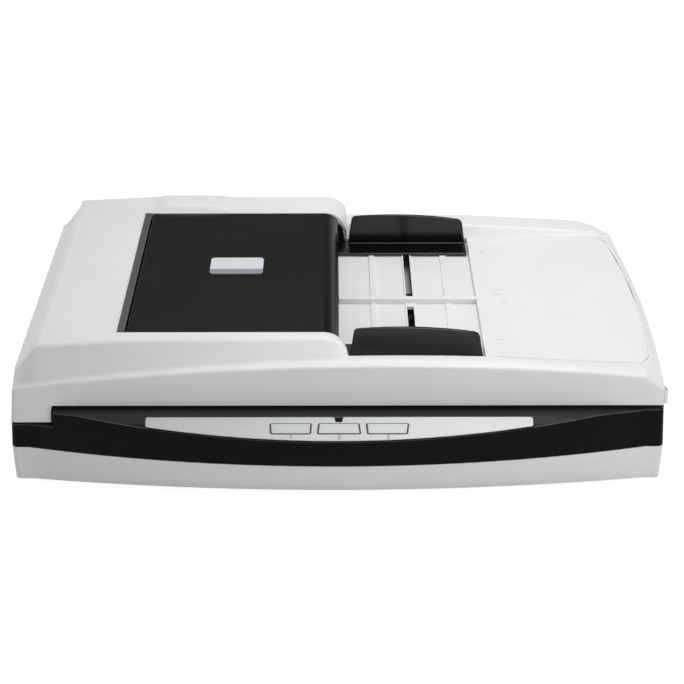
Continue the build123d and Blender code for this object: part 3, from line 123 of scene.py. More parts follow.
# the lens is 1770 pixels of focal length in a square picture of 684 pixels
camera_pitch, camera_turn = 26.95, -0.16
view = bpy.data.cameras.new("camera")
view.lens = 93.16
view.sensor_width = 36.0
view.clip_start = 0.05
view.clip_end = 50.0
camera = bpy.data.objects.new("camera", view)
scene.collection.objects.link(camera)
camera.location = (0.0, -1.30825, 0.7156)
camera.rotation_euler = (math.radians(90 - camera_pitch), 0.0, math.radians(camera_turn))
scene.camera = camera


def lamp(name, place, target, size, power):
    """A soft oblong lamp at a place, turned to a target."""
    light = bpy.data.lights.new(name, "AREA")
    light.shape = "RECTANGLE"
    light.size, light.size_y = size
    light.energy = power
    holder = bpy.data.objects.new(name, light)
    holder.location = place
    holder.rotation_euler = (Vector(target) - Vector(place)).to_track_quat("-Z", "Y").to_euler()
    scene.collection.objects.link(holder)


lamp("overhead", (0.2, 0.0, 0.85), (0.15, 0.0, 0.1), (1.0, 0.35), 5.5)
lamp("back_left", (-0.5, 1.7, 1.55), (-0.1, 0, 0.1), (1.5, 0.9), 3.5)
lamp("front_right", (0.85, -1.1, 0.42), (0.15, -0.1, 0.05), (0.5, 0.5), 4.6)
lamp("left_side", (-1.4, 0.2, 0.55), (-0.2, 0.0, 0.08), (0.5, 0.5), 4.5)


# Base: lower housing of pale ABS and a black frame on it, moulded in textured
# tools and held by six screws from below; four rubber feet are pushed in.
# Spark-eroded moulds leave a fine grain that scatters the lamps' reflections.
def moulded(name, colour, roughness, grain=0.4, depth=0.012, drift=0.03, shine=0.5, metallic=0.0, wave=0.0,
            edges=None, tops=None):
    """ABS or rubber from a mould: noise bump of a grain in mm, and colour and roughness that drift a little.

    Edges and tops can have painted highlights in colours of their own, by how far the surface faces up: painted
    highlight on edge bevels, painted reflection on up-facing tops."""
    clouds_per_metre, waves_per_metre = 22.0, 16.0
    material, tree = new_material(name)
    place = add(tree, "ShaderNodeTexCoord")
    cloud = add(tree, "ShaderNodeTexNoise", {"Vector": place.outputs["Object"], "Scale": clouds_per_metre,
                                             "Detail": 3.0})
    low = [c * (1 - drift) for c in rgb(colour)[:3]] + [1]
    high = [min(1, c * (1 + drift)) for c in rgb(colour)[:3]] + [1]
    tint = add(tree, "ShaderNodeMix", {0: cloud.outputs["Fac"], 6: low, 7: high}, data_type="RGBA")
    tone = tint.outputs[2]
    # painted highlight: edge bevels and up-facing tops get lighter colours that stand in for the lamps'
    # reflections
    if edges:
        edge_from, edge_to = 0.2, 0.45
        top_from, top_to = 0.72, 0.86
        facing = add(tree, "ShaderNodeSeparateXYZ", {0: place.outputs["Normal"]})
        edge_highlight_share = add(tree, "ShaderNodeMapRange", {"Value": facing.outputs["Z"], "From Min": edge_from,
                                                  "From Max": edge_to})
        edge_highlit_tone = add(tree, "ShaderNodeMix", {0: edge_highlight_share.outputs[0], 6: tone, 7: rgb(edges)}, data_type="RGBA")
        level = add(tree, "ShaderNodeMapRange", {"Value": facing.outputs["Z"], "From Min": top_from,
                                                 "From Max": top_to})
        tone = add(tree, "ShaderNodeMix", {0: level.outputs[0], 6: edge_highlit_tone.outputs[2], 7: rgb(tops)},
                   data_type="RGBA").outputs[2]
    gloss = add(tree, "ShaderNodeMapRange", {
        "Value": cloud.outputs["Fac"], "From Min": 0.3, "From Max": 0.7,
        "To Min": roughness * 0.92, "To Max": min(1, roughness * 1.08)}).outputs[0]
    pits = add(tree, "ShaderNodeTexNoise", {"Vector": place.outputs["Object"], "Scale": 1000 / grain / 2,
                                            "Detail": 2.0})
    height = add(tree, "ShaderNodeBump", {"Height": pits.outputs["Fac"], "Strength": 0.25,
                                          "Distance": depth / 1000})
    normal = height.outputs[0]
    if wave:
        swell = add(tree, "ShaderNodeTexNoise", {"Vector": place.outputs["Object"], "Scale": waves_per_metre})
        rolled = add(tree, "ShaderNodeBump", {"Height": swell.outputs["Fac"], "Strength": 1.0,
                                              "Distance": wave / 1000, "Normal": normal})
        normal = rolled.outputs[0]
    surface = add(tree, "ShaderNodeBsdfPrincipled", {
        "Base Color": tone, "Roughness": gloss, "Normal": normal,
        "Metallic": metallic, "IOR": 1.53, "Specular IOR Level": shine})
    add(tree, "ShaderNodeOutputMaterial", {"Surface": surface.outputs[0]})
    return material


def finish_with(material, *nodes):
    """Puts a material on whole solids."""
    for name in nodes:
        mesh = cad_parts[name].data
        mesh.materials.clear()
        mesh.materials.append(material)


def softened(radius, *nodes):
    """Rounds the sharp edges of whole solids by a radius in mm: coplanar triangles joined, then a bevel."""
    for name in nodes:
        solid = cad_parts[name]
        solid.modifiers.new("weld", "WELD").merge_threshold = 0.000002
        flat = solid.modifiers.new("flat_faces", "DECIMATE")
        flat.decimate_type = "DISSOLVE"
        flat.angle_limit = math.radians(0.5)
        round_off = solid.modifiers.new("soft_edges", "BEVEL")
        round_off.width = radius / 1000
        round_off.segments = 2
        round_off.limit_method = "ANGLE"
        round_off.angle_limit = math.radians(32)
        round_off.use_clamp_overlap = False
        round_off.miter_outer = "MITER_ARC"
        shade = solid.modifiers.new("even_shade", "WEIGHTED_NORMAL")
        shade.keep_sharp = False


pale = moulded("pale_abs_fine_texture", "#e4e5e5", 0.46)
# the frame's black has painted highlight on its edge bevels and painted reflection on its up-facing deck
black = moulded("black_abs_satin", "#0a0a0a", 0.36, drift=0.08, shine=0.06, edges="#565656", tops="#363635")
finish_with(pale, "lower_housing")
finish_with(black, "upper_frame")
softened(0.8, "upper_frame")
softened(0.4, "lower_housing")
rubber = moulded("black_rubber_matt", "#1a1a1a", 0.8, grain=0.6, depth=0.03, drift=0.1, shine=0.3)
finish_with(rubber, "rubber_feet", "lid_bumpers")

# Lid shell: one pale moulding that covers the feeder and frames the tray. Its
# skin is 2.4 mm thick, with rounded crests, sloping cheeks and a hump over the gears.
corner = -143.75
roof_height = 115.0
tray_height = 91.0
feeder_foot, lid_foot = 56.5, 70.0
opening_front, opening_rear = 33.6, 265.4
lid_lean = 0.08
right_lean = 0.2
shell_thick = 2.4
fall_start, fall_end = -12.0, 8.2


def along(stations, x):
    """Value at each x of a curve through (x, value) stations, eased by averaging it over 8 mm."""
    keys, values = zip(*stations)
    shifts = np.linspace(-4, 4, 9)
    return np.mean([np.interp(x + shift, keys, values) for shift in shifts], axis=0)


def crest_height(x):
    """Front crest: a parabola, highest a little right of the middle."""
    return 101.5 - 17.5 * ((x - 40.0) / 280.0) ** 2


def right_edge(d):
    """Right side of the lid: a parabola, highest 116 mm from the front, then a straight cut at the back."""
    bow = 249.9 - 3.9 * ((d - 116) / 116) ** 2
    return np.where(d < 280, bow, 242.1 - (d - 280) * 12.0 / 23)


def left_edge(d):
    """Left side of the lid: straight, then a cut at the back."""
    return -245.5 + np.clip(d - 286, 0, None) * 16.5 / 19


def tray_edge(d):
    """Right side of the tray's opening, with both corners cut: straight runs through (depth, x) stations."""
    depths, places = zip((0, 226), (28, 231), (36, 238), (80, 241.9), (120, 243.3), (190, 241.2),
                         (258, 234.5), (268, 226), (305, 212))
    return np.interp(d, depths, places)


def bend(start, spot, end, t):
    """Point at share t of a quadratic curve from start to end, drawn towards a spot."""
    return (1 - t) ** 2 * start + 2 * t * (1 - t) * spot + t ** 2 * end


def rounded(corners, radii, steps=5):
    """A profile of corners, each replaced by a quadratic curve between points a radius away on its sides."""
    rows = [corners[0]]
    for k in range(1, len(corners) - 1):
        before = corners[k - 1] - corners[k]
        after = corners[k + 1] - corners[k]
        reach_before = np.minimum(radii[k], 0.45 * np.linalg.norm(before, axis=1))[:, None]
        reach_after = np.minimum(radii[k], 0.45 * np.linalg.norm(after, axis=1))[:, None]
        start = corners[k] + before / np.linalg.norm(before, axis=1)[:, None] * reach_before
        end = corners[k] + after / np.linalg.norm(after, axis=1)[:, None] * reach_after
        for t in np.linspace(0, 1, steps):
            rows.append(bend(start, corners[k], end, t))
    rows.append(corners[-1])
    return np.array(rows)


def fall(x):
    """Share of the cheek's height left at x: 1 on the roof, then a superellipse down to the tray's rim."""
    t = np.clip((x - fall_start) / (fall_end - fall_start), 0, 1)
    return (1 - t ** 2.3) ** (1 / 2.3)


def hump_height(x, d):
    """Height of the hump: the least way in from its four sides, over each slope's width, half of it eased."""
    rise = 5.0
    left, right, front, back = -162.7, -88.7, 266.0, 303.0
    ways = [(x - left) / 11.7, (right - x) / 17.3, (d - front) / 6.5, (back - d) / 9.0]
    share = np.clip(np.min(ways, axis=0), 0, 1)
    return rise * (0.5 * share + 0.5 * share ** 2 * (3 - 2 * share))


def pair(d, z):
    """Corner (d, z) of every column's profile."""
    return np.stack(np.broadcast_arrays(d, z), axis=1).astype(float)


edge_round = 2.6
opening_left = -167.4
step_at = -216.0
inner_right = 231.0
columns = np.concatenate([
    np.linspace(-242.9, -221, 13), [step_at - 0.02, step_at], np.linspace(-210, -171, 8), [opening_left],
    np.linspace(-165, -85, 41), np.linspace(-78, -17, 8), np.linspace(fall_start, fall_end, 21),
    [8.22], np.linspace(14, 108, 11), [113.5, 115.7, 118.0], np.linspace(126, 222, 13), [227, inner_right],
])
rim_share = np.array([0.12, 0.3, 0.36, 0.65, 1.0])
n_left = len(columns)
cols = np.concatenate([columns, inner_right + 15 * rim_share])
share_right = np.concatenate([np.zeros(n_left), rim_share])
rim = crest_height(cols)
roof_now = along([(-256, 82), (-228, 112), (-165, roof_height), (300, roof_height)], cols)
keep_left = fall(cols)
bottom = np.where(cols < step_at, feeder_foot, lid_foot)


def lean_at(z):
    """How far a wall leans in at a height."""
    return lid_lean * (z - lid_foot)


def mixed_corner(left_d, left_z, right_d, right_z):
    """A corner that goes from its place on the feeder to its place on the tray's rim as the cheek falls."""
    z = right_z + (left_z - right_z) * keep_left
    t = np.clip((cols - fall_start) / (fall_end - fall_start), 0, 1)
    d = np.where(cols >= fall_end, right_d, left_d + (right_d - left_d) * t ** 2)
    return pair(d, z)


shelf_left = along([(-256, 1), (-228, 2), (-165, 4), (-12, 8), (8, 8.5)], cols)
shelf_right = along([(8, 8.5), (114, 7), (228, 4), (262, 3)], cols)
swell = along([(8, 1.5), (114, 1.5), (228, 0.8), (262, 0.2)], cols)
top_front = along([(-256, 16), (-228, 17), (-165, 20), (-12, 24), (8, 24)], cols)
top_in = along([(8, 21), (114, 21), (228, 9), (262, 7)], cols)
tray_front = np.interp(cols, [fall_end, 8.22, 113.5, 118, 231, 246],
                       [opening_front, 28.5, 34.5, 39.5, 28, 36])
floor_front = np.minimum(np.interp(cols, [8, 114, 118, 228, 246], [26.5, 33, 38, 26, 24]), tray_front - 1.2)
rear_line = np.interp(cols, [fall_end, 8.22, 226, 246], [opening_rear, 265, 268, 262])
floor_rear = np.maximum(np.interp(cols, [8, 114, 228, 262], [266, 267, 270, 271]), rear_line + 0.8)
rear_rim = along([(8, 102.5), (114, 100.8), (228, 94.6), (262, 91.6)], cols)
rear_edge = along([(8, 98), (114, 97.3), (228, 91.5), (262, 90)], cols)

front_corners = [
    pair(lean_at(bottom), bottom),
    pair(lean_at(rim) + 0.3, rim),
    mixed_corner(3 + shelf_left, rim + 1.2, 3 + shelf_right, rim + swell),
    mixed_corner(top_front, roof_now, top_in, rim + 0.5 * swell),
    mixed_corner(31.5, roof_now, floor_front, tray_height),
    mixed_corner(opening_front, roof_now, tray_front, tray_height),
]
front_rows = rounded(front_corners, [0, 2.2, 2.4, 3.2, 3.0, 0])
rear_corners = [
    mixed_corner(opening_rear, roof_now, rear_line, tray_height),
    mixed_corner(268.0, roof_now, floor_rear, tray_height),
    mixed_corner(285.0, roof_now, 273.5, rear_rim),
    pair(304.2, rear_edge + (roof_now - rear_edge) * keep_left),
    pair(305.0, bottom),
]
rear_rows = rounded(rear_corners, [0, 2.0, 2.5, 2.5, 0], steps=6)


def filled(rows, every):
    """Rows with others set between them wherever the profile runs further than this."""
    out = [rows[0]]
    for a, b in zip(rows[:-1], rows[1:]):
        parts = max(1, int(np.ceil(np.linalg.norm(b - a, axis=1).max() / every)))
        for k in range(1, parts + 1):
            out.append(a + (b - a) * k / parts)
    return np.array(out)


n_front_wall = len(front_rows)
rear_rows = np.concatenate([filled(rear_rows[:-1], 2.5), rear_rows[-1:]])
middle_at = np.concatenate([[38.0], np.linspace(46, 254, 27), [262.0]])
share = ((middle_at - opening_front) / (opening_rear - opening_front))[:, None, None]
middle_rows = front_rows[-1] + (rear_rows[0] - front_rows[-1]) * share
middle_rows[:, cols > inner_right - 1, 0] = middle_at[:, None]
rows = np.concatenate([front_rows, middle_rows, rear_rows])
deep = rows[:, :, 0]
high = rows[:, :, 1]
nominal = np.broadcast_to(cols, deep.shape)
high = high + np.where(high > 90, hump_height(nominal, deep), 0)

# the plan: columns are drawn in to the cut corners at the left and to the curved side at the right
slope_start = -228.0
lift_right = np.interp(deep, [0, 30, 134, 268, 305], [9, 5.0, 3.6, 3.2, 3.2])
past_crease = np.clip((share_right - 0.3) / 0.7, 0, 1)
lowered = np.where(nominal > inner_right, lift_right * past_crease / (tray_height - lid_foot), 0)
high = lid_foot + (high - lid_foot) * (1 - lowered)
outer_left = left_edge(deep) + edge_round
along_left = (nominal + 242.9) / (slope_start + 242.9)
wide = np.where(nominal < slope_start, outer_left + along_left * (slope_start - outer_left), nominal)
inner = tray_edge(deep)
outer_right = right_edge(deep) - edge_round
wide = np.where(nominal > 200, 200 + (nominal - 200) / (inner_right - 200) * (inner - 200), wide)
wide = np.where(nominal > inner_right, inner + (outer_right - inner) * share_right, wide)
wide = wide - right_lean * lean_at(high) * np.clip((nominal - 200) / 40, 0, 1)
wide = wide + lean_at(high) * np.clip((-228 - nominal) / 15, 0, 1)


def rolled_end(side, last):
    """Columns that carry an end profile round a quarter circle, each drawn in along the profile's normal."""
    d, z, x = deep[:, last], high[:, last], wide[:, last]
    step = np.stack([np.gradient(d), np.gradient(z)])
    step = step / np.linalg.norm(step, axis=0)
    made = []
    for turn in np.radians([22.5, 45, 67.5, 90]):
        drawn = edge_round * (1 - np.cos(turn))
        between_ends = np.where(np.arange(len(z)) % (len(z) - 1) == 0, 0, 1)
        lowered_z = z - step[0] * drawn * between_ends
        made.append((x + side * edge_round * np.sin(turn), d + step[1] * drawn, lowered_z))
    return made


left_end = rolled_end(-1, 0)[::-1]
right_end = rolled_end(1, -1)
wide = np.column_stack([c[0] for c in left_end] + [wide] + [c[0] for c in right_end])
deep = np.column_stack([c[1] for c in left_end] + [deep] + [c[1] for c in right_end])
high = np.column_stack([c[2] for c in left_end] + [high] + [c[2] for c in right_end])
nominal = np.concatenate([[-246] * 4, cols, [250] * 4])
n_rows, n_cols = wide.shape
points = np.stack([wide, corner + deep, high], axis=2).reshape(-1, 3)
index = np.arange(n_rows * n_cols).reshape(n_rows, n_cols)
quads = np.stack([index[:-1, :-1], index[:-1, 1:], index[1:, 1:], index[1:, :-1]], axis=2)
row_of = np.arange(n_rows - 1)[:, None]
opened = (row_of >= n_front_wall - 1) & (row_of < n_front_wall - 1 + len(middle_at) + 1)
opened = opened & (nominal[:-1][None, :] > opening_left - 0.1) & (nominal[1:][None, :] < inner_right + 0.1)
faces = [quads[~opened].reshape(-1, 4)]

# the opening's front and rear edges, turned down, deeper beside the feeder
lip_deep, lip_more = 4.0, 2.5
edge_columns = np.where((nominal > opening_left - 0.1) & (nominal < inner_right + 0.1))[0]
for row, order in ((n_front_wall - 1, 1), (n_front_wall - 1 + len(middle_at) + 1, -1)):
    top = index[row, edge_columns]
    down = points[top] - [0, 0, 1] * (lip_deep + lip_more * fall(wide[row, edge_columns]))[:, None]
    below = len(points) + np.arange(len(top))
    points = np.concatenate([points, down])
    strip = np.stack([top[:-1], top[1:], below[1:], below[:-1]], axis=1)
    faces.append(strip if order > 0 else strip[:, ::-1])

# side walls: the left one plain, the right one with the slot that the sheets come out of
crest_row = 1
back_row = n_rows - 2
slot_top, slot_foot = 79.0, 72.0
slot_front, slot_back = 37.9, 262.1
for side, column, lowest in ((-1, 0, feeder_foot), (1, n_cols - 1, lid_foot)):
    span = np.arange(crest_row, back_row + 1)
    top = index[span, column]
    d_top = deep[span, column]
    d_low = np.interp(d_top, [d_top[0], d_top[-1]], [deep[0, column], deep[-1, column]])
    levels = [lowest] if side < 0 else [slot_top, slot_foot, lowest]
    upper = top
    for number, level in enumerate(levels):
        lean = (1.0 if side < 0 else right_lean) * lid_lean * (high[span, column] - level)
        x_low = wide[span, column] + side * lean
        d_here = d_top + (d_low - d_top) * (high[span, column] - level) / (high[span, column] - lowest)
        lower = len(points) + np.arange(len(span))
        row = np.stack([x_low, corner + d_here, np.full(len(span), level)], axis=1)
        points = np.concatenate([points, row])
        wall = np.stack([upper[:-1], lower[:-1], lower[1:], upper[1:]], axis=1)
        if side < 0:
            wall = wall[:, ::-1]
        if side > 0 and number == 1:
            wall = wall[~((d_top[:-1] > slot_front) & (d_top[1:] < slot_back))]
        faces.append(wall)
        upper = lower


def surface_piece(name, points, faces, body, material):
    """A mesh of points in mm and faces, smooth shaded, that rides on a body."""
    mesh = bpy.data.meshes.new(name)
    mesh.from_pydata((np.asarray(points) / 1000).tolist(), [], [list(map(int, face)) for face in faces])
    mesh.polygons.foreach_set("use_smooth", [True] * len(mesh.polygons))
    mesh.materials.append(material)
    piece = bpy.data.objects.new(name, mesh)
    scene.collection.objects.link(piece)
    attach(piece, body)
    return piece


lid_shell = surface_piece("lid_shell", points, np.concatenate(faces), "lid", pale)
skin = lid_shell.modifiers.new("skin", "SOLIDIFY")
skin.thickness = shell_thick / 1000
skin.offset = -1
even = lid_shell.modifiers.new("even_shade", "WEIGHTED_NORMAL")
even.keep_sharp = True
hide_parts("lid_top_shell")

# Tray and guides. The tray is pale ABS; the two guides slide across it and are
# polished black ABS, with their racks held up by a plate and tied by a pinion.
finish_with(pale, "feeder_tray")
polished = moulded("black_abs_polished", "#0b0b0b", 0.2, depth=0.002, shine=0.5)
finish_with(polished, "front_guide", "rear_guide")
softened(0.7, "front_guide", "rear_guide")
softened(0.3, "feeder_tray")
# the other small gears and the pulleys are of the same acetal
acetal = moulded("natural_acetal", "#e4e1d6", 0.35, grain=0.8, depth=0.006)
finish_with(acetal, "guide_pinion", "drive_pulley", "idler_pulley", "scan_pinion", "idler_gear_left",
            "idler_gear_middle", "idler_gear_right", "feeder_motor_gear", "exit_pinch")
# the mouldings inside; the plate under the racks has the matt black of the feet
inner_black = moulded("black_abs_inner_parts", "#141414", 0.5, drift=0.06, shine=0.4)
finish_with(rubber, "rack_retainer")
finish_with(inner_black, "feeder_frame", "turn_chute", "pick_arm", "sensor_flag",
            "carriage_housing", "hinge_posts", "power_jack")

# Size marks: faint marks for the sheets on the tray's floor, here plain ticks.
# Each is a flat grey bar of matt ABS, set just above the floor.
tick_long, tick_half, tick_lift = 6.0, 0.45, 0.05
tick_points, tick_faces = [], []
for x, d in ((122.0, 236.0), (127.5, 150.0), (132.5, 135.0), (132.5, 160.0), (123.5, 68.0), (123.5, 45.0)):
    near, far = corner + d - tick_half, corner + d + tick_half
    bar = np.array([(x, near), (x + tick_long, near), (x + tick_long, far), (x, far)])
    tick_faces.append([len(tick_points) * 4 + k for k in range(4)])
    tick_points.append(np.column_stack([bar, np.full(4, tray_height + tick_lift)]))
tick_grey = moulded("tray_mark_grey", "#c3c5c6", 0.55, shine=0.3)
tray_marks = surface_piece("tray_marks", np.concatenate(tick_points), tick_faces, "lid", tick_grey)

# Feeder cover: black ABS with a polished top that swings up on its trunnions,
# the grey strip beside it and the bare plaque, silver with a darker lower band.
cover_black = moulded("black_abs_cover", "#080809", 0.26, depth=0.003, shine=0.1, wave=0.02)
finish_with(cover_black, "adf_cover")
softened(0.5, "adf_cover")
trim_grey = moulded("dark_grey_abs", "#4a4a4b", 0.3, shine=0.5)
finish_with(trim_grey, "cover_trim")


def band_mix(name, below, above, edge, axis, roughness, metallic):
    """Two colours that meet at a height along an axis in object space, with noise so that neither is flat."""
    seam = 0.0002
    material, tree = new_material(name)
    place = add(tree, "ShaderNodeTexCoord")
    parts = add(tree, "ShaderNodeSeparateXYZ", {0: place.outputs["Object"]})
    step = add(tree, "ShaderNodeMapRange", {"Value": parts.outputs[axis], "From Min": edge - seam,
                                            "From Max": edge + seam})
    cloud = add(tree, "ShaderNodeTexNoise", {"Vector": place.outputs["Object"], "Scale": 150.0})
    two = add(tree, "ShaderNodeMix", {0: step.outputs[0], 6: rgb(below), 7: rgb(above)}, data_type="RGBA")
    tint = add(tree, "ShaderNodeHueSaturation", {"Color": two.outputs[2]})
    lift = add(tree, "ShaderNodeMapRange", {"Value": cloud.outputs["Fac"], "To Min": 0.94, "To Max": 1.06})
    tree.links.new(lift.outputs[0], tint.inputs["Value"])
    gloss = add(tree, "ShaderNodeMapRange", {"Value": cloud.outputs["Fac"], "To Min": roughness * 0.85,
                                             "To Max": roughness * 1.15})
    surface = add(tree, "ShaderNodeBsdfPrincipled", {
        "Base Color": tint.outputs[0], "Roughness": gloss.outputs[0], "Metallic": metallic})
    add(tree, "ShaderNodeOutputMaterial", {"Surface": surface.outputs[0]})
    return material


plaque_low, plaque_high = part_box("cover_plaque")
plaque_band = plaque_low[1] + 0.3 * (plaque_high[1] - plaque_low[1])
finish_with(band_mix("anodised_plaque", "#8f9aa6", "#dfe3e8", plaque_band, "Y", 0.3, 0.2), "cover_plaque")

# Feeder rollers: turned steel shafts with acetal gears moulded on at the back
# end, rubber sleeves ground round, and a small rubber pad that parts the sheets.
finish_with(band_mix("steel_shaft_acetal_gear", "#a9acb0", "#dedbd0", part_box("idler_gear_left")[0][1] - 0.001,
                     "Y", 0.32, 0.6), "drive_shaft", "feed_shaft", "exit_roller")
tyre = moulded("grey_roller_rubber", "#55585c", 0.7, grain=0.5, depth=0.03, shine=0.3)
finish_with(tyre, "drive_rollers", "feed_roller", "pick_roller", "pinch_rollers", "separation_pad")
white_abs = moulded("white_abs_plate", "#f0f0ee", 0.45)
finish_with(white_abs, "background_plate", "usb_socket")

# Control panel: silver lacquered strip snapped into the frame, three keys that
# press in it, a smoked lamp window, and the power switch in the right side.
silver = moulded("silver_painted_abs", "#c8cacc", 0.5, grain=0.3, metallic=0.2)
finish_with(silver, "control_panel", "button_left", "button_middle", "button_right")
softened(0.3, "control_panel", "button_left", "button_middle", "button_right")
lens = moulded("smoked_acrylic", "#0b0d0c", 0.15, grain=0.3, depth=0.002, shine=0.15)
finish_with(lens, "led_window")
finish_with(black, "switch_bezel", "power_rocker")

# Key outlines and numerals: a dark line round each of the three keys, which is painted shade where the gaps
# round them lie, and a plain numeral in grey ink below each key, as thin flat bands just above the panel.
slope = math.atan(0.53)
panel_face = 0.353
panel_foot_y, panel_foot_z = -152.15, 66.0
print_and_shade_lift = 0.04
key_top, key_low = -7.81, -16.07


def on_slope(x, up, lift):
    """Points in mm on the panel's slope: x to the right, up along it, and a lift above its plane."""
    return np.stack([x, panel_foot_y + up * math.cos(slope) - lift * math.sin(slope),
                     panel_foot_z + up * math.sin(slope) + lift * math.cos(slope)], axis=-1)


def closed_line(corners, side_out, end_out, radius):
    """A closed outline round a key's corners, moved out at its sides and ends, with quadratic corners."""
    back_left, back_right, front_left, front_right = corners
    top, low = key_top + end_out, key_low - end_out
    spots = np.array([(back_left - side_out, top), (front_left - side_out, low),
                      (front_right + side_out, low), (back_right + side_out, top)])
    loop = []
    for k in range(4):
        spot, before, after = spots[k], spots[k - 1], spots[(k + 1) % 4]
        start = spot + (before - spot) / np.linalg.norm(before - spot) * radius
        end = spot + (after - spot) / np.linalg.norm(after - spot) * radius
        for t in np.linspace(0, 1, 6):
            loop.append(bend(start, spot, end, t))
    return np.array(loop)


def pen_stroke(path, width):
    """A flat band of a width along a path, as points left and right of it and the faces between."""
    path = np.array(path, float)
    run = np.gradient(path, axis=0)
    across = np.stack([-run[:, 1], run[:, 0]], axis=1) / np.linalg.norm(run, axis=1)[:, None] * width / 2
    n = np.arange(len(path) - 1)
    both = np.concatenate([path + across, path - across])
    return both, np.stack([n, n + len(path), n + len(path) + 1, n + 1], axis=1)


key_corners = [(-49.8, -20.4, -49.1, -21.0), (-13.4, 15.2, -14.3, 16.3), (22.2, 52.3, 22.9, 51.1)]
ring_points, ring_faces = [], []
for corners in key_corners:
    inner_line = closed_line(corners, 0.15, 0.15, 0.8)
    outer_line = closed_line(corners, 1.25, 0.8, 1.7)
    first = sum(len(p) for p in ring_points)
    n = len(inner_line)
    k = np.arange(n)
    after = (k + 1) % n
    ring_faces.append(np.stack([k, k + n, after + n, after], axis=1) + first)
    ring_points.append(np.concatenate([inner_line, outer_line]))
flat = np.concatenate(ring_points)
# the dark lines round the keys are painted shade of the gaps between keys and panel
gap_shade_grey = moulded("key_gap_painted_shade", "#3c4042", 0.5, shine=0.3)
key_lines = surface_piece("key_lines", on_slope(flat[:, 0], flat[:, 1], panel_face + print_and_shade_lift),
                          np.concatenate(ring_faces), "base", gap_shade_grey)

digits = {
    1: [(0.22, 0.76), (0.45, 1.0), (0.46, 0.99), (0.46, 0.0)],
    2: [(0.04, 0.74), (0.12, 0.92), (0.34, 1.0), (0.58, 0.94), (0.68, 0.74), (0.6, 0.54), (0.32, 0.26),
        (0.04, 0.02), (0.05, 0.0), (0.72, 0.0)],
    3: [(0.05, 0.88), (0.32, 1.0), (0.58, 0.92), (0.64, 0.74), (0.52, 0.57), (0.3, 0.52), (0.55, 0.47),
        (0.69, 0.28), (0.6, 0.08), (0.33, 0.0), (0.03, 0.12)],
}
digit_height, digit_foot, digit_pen = 3.0, -20.7, 0.55
mark_points, mark_faces = [], []
for (back_left, back_right, _, _), (number, path) in zip(key_corners, digits.items()):
    spots = np.array(path) * digit_height + [(back_left + back_right) / 2 - 1.0, digit_foot]
    both, bands = pen_stroke(spots, digit_pen)
    mark_faces.append(bands + sum(len(p) for p in mark_points))
    mark_points.append(both)
flat = np.concatenate(mark_points)
mid_grey = moulded("grey_ink", "#6a6e71", 0.5, shine=0.3)
numerals = surface_piece("key_numerals", on_slope(flat[:, 0], flat[:, 1], panel_face + print_and_shade_lift),
                         np.concatenate(mark_faces), "base", mid_grey)


# Circuit boards: glass laminate under green lacquer, one below the keys with
# their three switches and one at the back of the case, both on posts.
def circuit_board(name):
    """Glass laminate: green lacquer over a grid of thin lighter tracks 1.3 mm apart, with bare patches."""
    material, tree = new_material(name)
    place = add(tree, "ShaderNodeTexCoord")
    tracks = add(tree, "ShaderNodeTexBrick", {"Vector": place.outputs["Object"], "Scale": 120.0,
                                              "Color1": rgb("#1c5a34"), "Color2": rgb("#1a5230"),
                                              "Mortar": rgb("#3c7d50"), "Mortar Size": 0.03})
    cloud = add(tree, "ShaderNodeTexNoise", {"Vector": place.outputs["Object"], "Scale": 60.0})
    gloss = add(tree, "ShaderNodeMapRange", {"Value": cloud.outputs["Fac"], "To Min": 0.25, "To Max": 0.5})
    surface = add(tree, "ShaderNodeBsdfPrincipled", {"Base Color": tracks.outputs["Color"],
                                                     "Roughness": gloss.outputs[0], "IOR": 1.5})
    add(tree, "ShaderNodeOutputMaterial", {"Surface": surface.outputs[0]})
    return material


laminate = circuit_board("green_circuit_board")
finish_with(laminate, "button_board", "main_board")


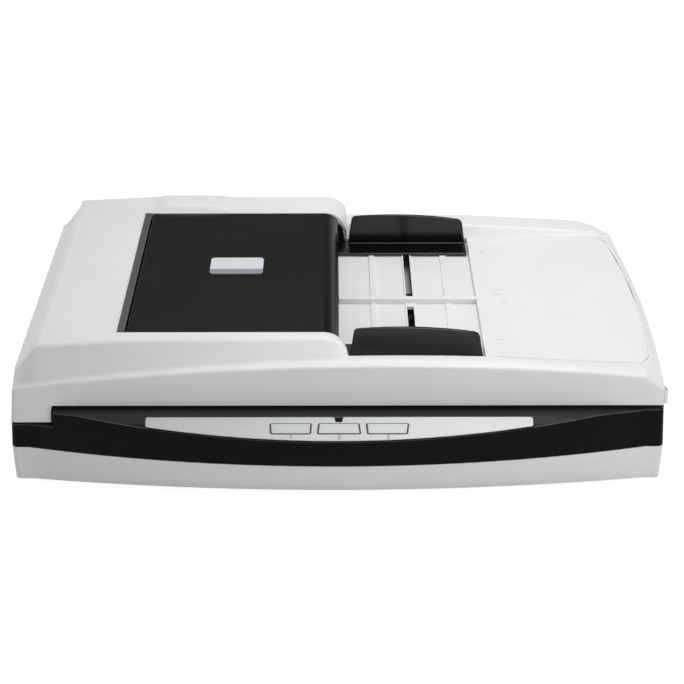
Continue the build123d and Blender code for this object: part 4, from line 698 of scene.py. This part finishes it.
# Metal pieces: screws, rod and pins are drawn steel, plated with zinc; the
# hinge leaves and motor cans are pressed from plated sheet.
def plated(name, colour, roughness, streak):
    """Plated steel: fine streaks along X a given number of mm apart, and a roughness that follows them."""
    material, tree = new_material(name)
    place = add(tree, "ShaderNodeTexCoord")
    drawn = add(tree, "ShaderNodeMapping", {0: place.outputs["Object"], "Scale": (0.05, 1.0, 1.0)})
    lines = add(tree, "ShaderNodeTexNoise", {"Vector": drawn.outputs[0], "Scale": 1000 / streak,
                                             "Detail": 2.0})
    gloss = add(tree, "ShaderNodeMapRange", {"Value": lines.outputs["Fac"], "To Min": roughness * 0.7,
                                             "To Max": roughness * 1.3})
    tint = add(tree, "ShaderNodeMix", {0: lines.outputs["Fac"], 6: [c * 0.92 for c in rgb(colour)[:3]] + [1],
                                       7: rgb(colour)}, data_type="RGBA")
    surface = add(tree, "ShaderNodeBsdfPrincipled", {"Base Color": tint.outputs[2], "Metallic": 1.0,
                                                     "Roughness": gloss.outputs[0]})
    add(tree, "ShaderNodeOutputMaterial", {"Surface": surface.outputs[0]})
    return material


zinc = plated("zinc_plated_steel", "#b4b6ba", 0.35, 0.8)
finish_with(zinc, "case_screws", "lid_screws", "hinge_pins", "hinge_leaves", "guide_rod", "scan_motor",
            "feeder_motor")


# Bed: two panes of float glass over the carriage, which carries a black
# sensor bar along its rod, drawn by a toothed rubber belt.
def float_glass(name):
    """Clear glass with a slight green tint; very faint smears change its roughness."""
    material, tree = new_material(name)
    place = add(tree, "ShaderNodeTexCoord")
    cloud = add(tree, "ShaderNodeTexNoise", {"Vector": place.outputs["Object"], "Scale": 9.0, "Detail": 4.0})
    gloss = add(tree, "ShaderNodeMapRange", {"Value": cloud.outputs["Fac"], "To Min": 0.0, "To Max": 0.03})
    surface = add(tree, "ShaderNodeBsdfPrincipled", {
        "Base Color": rgb("#eef5f1"), "Roughness": gloss.outputs[0], "IOR": 1.52, "Transmission Weight": 1.0})
    add(tree, "ShaderNodeOutputMaterial", {"Surface": surface.outputs[0]})
    return material


glass = float_glass("float_glass")
finish_with(glass, "flatbed_glass", "strip_glass")
finish_with(inner_black, "sensor_bar")
belt_rubber = moulded("neoprene_belt", "#111111", 0.65, grain=0.8, depth=0.05, shine=0.3)
finish_with(belt_rubber, "drive_belt")

# Under the lid: the liner is grey-white ABS; the document pad is white foam
# with a smooth film on its face, glued to the liner.
liner_abs = moulded("grey_white_abs", "#cfd1d2", 0.5, grain=0.8, depth=0.03)
finish_with(liner_abs, "lid_liner")
pad_film = moulded("white_foam_film", "#f3f3f1", 0.55, grain=1.2, depth=0.05)
finish_with(pad_film, "document_pad")
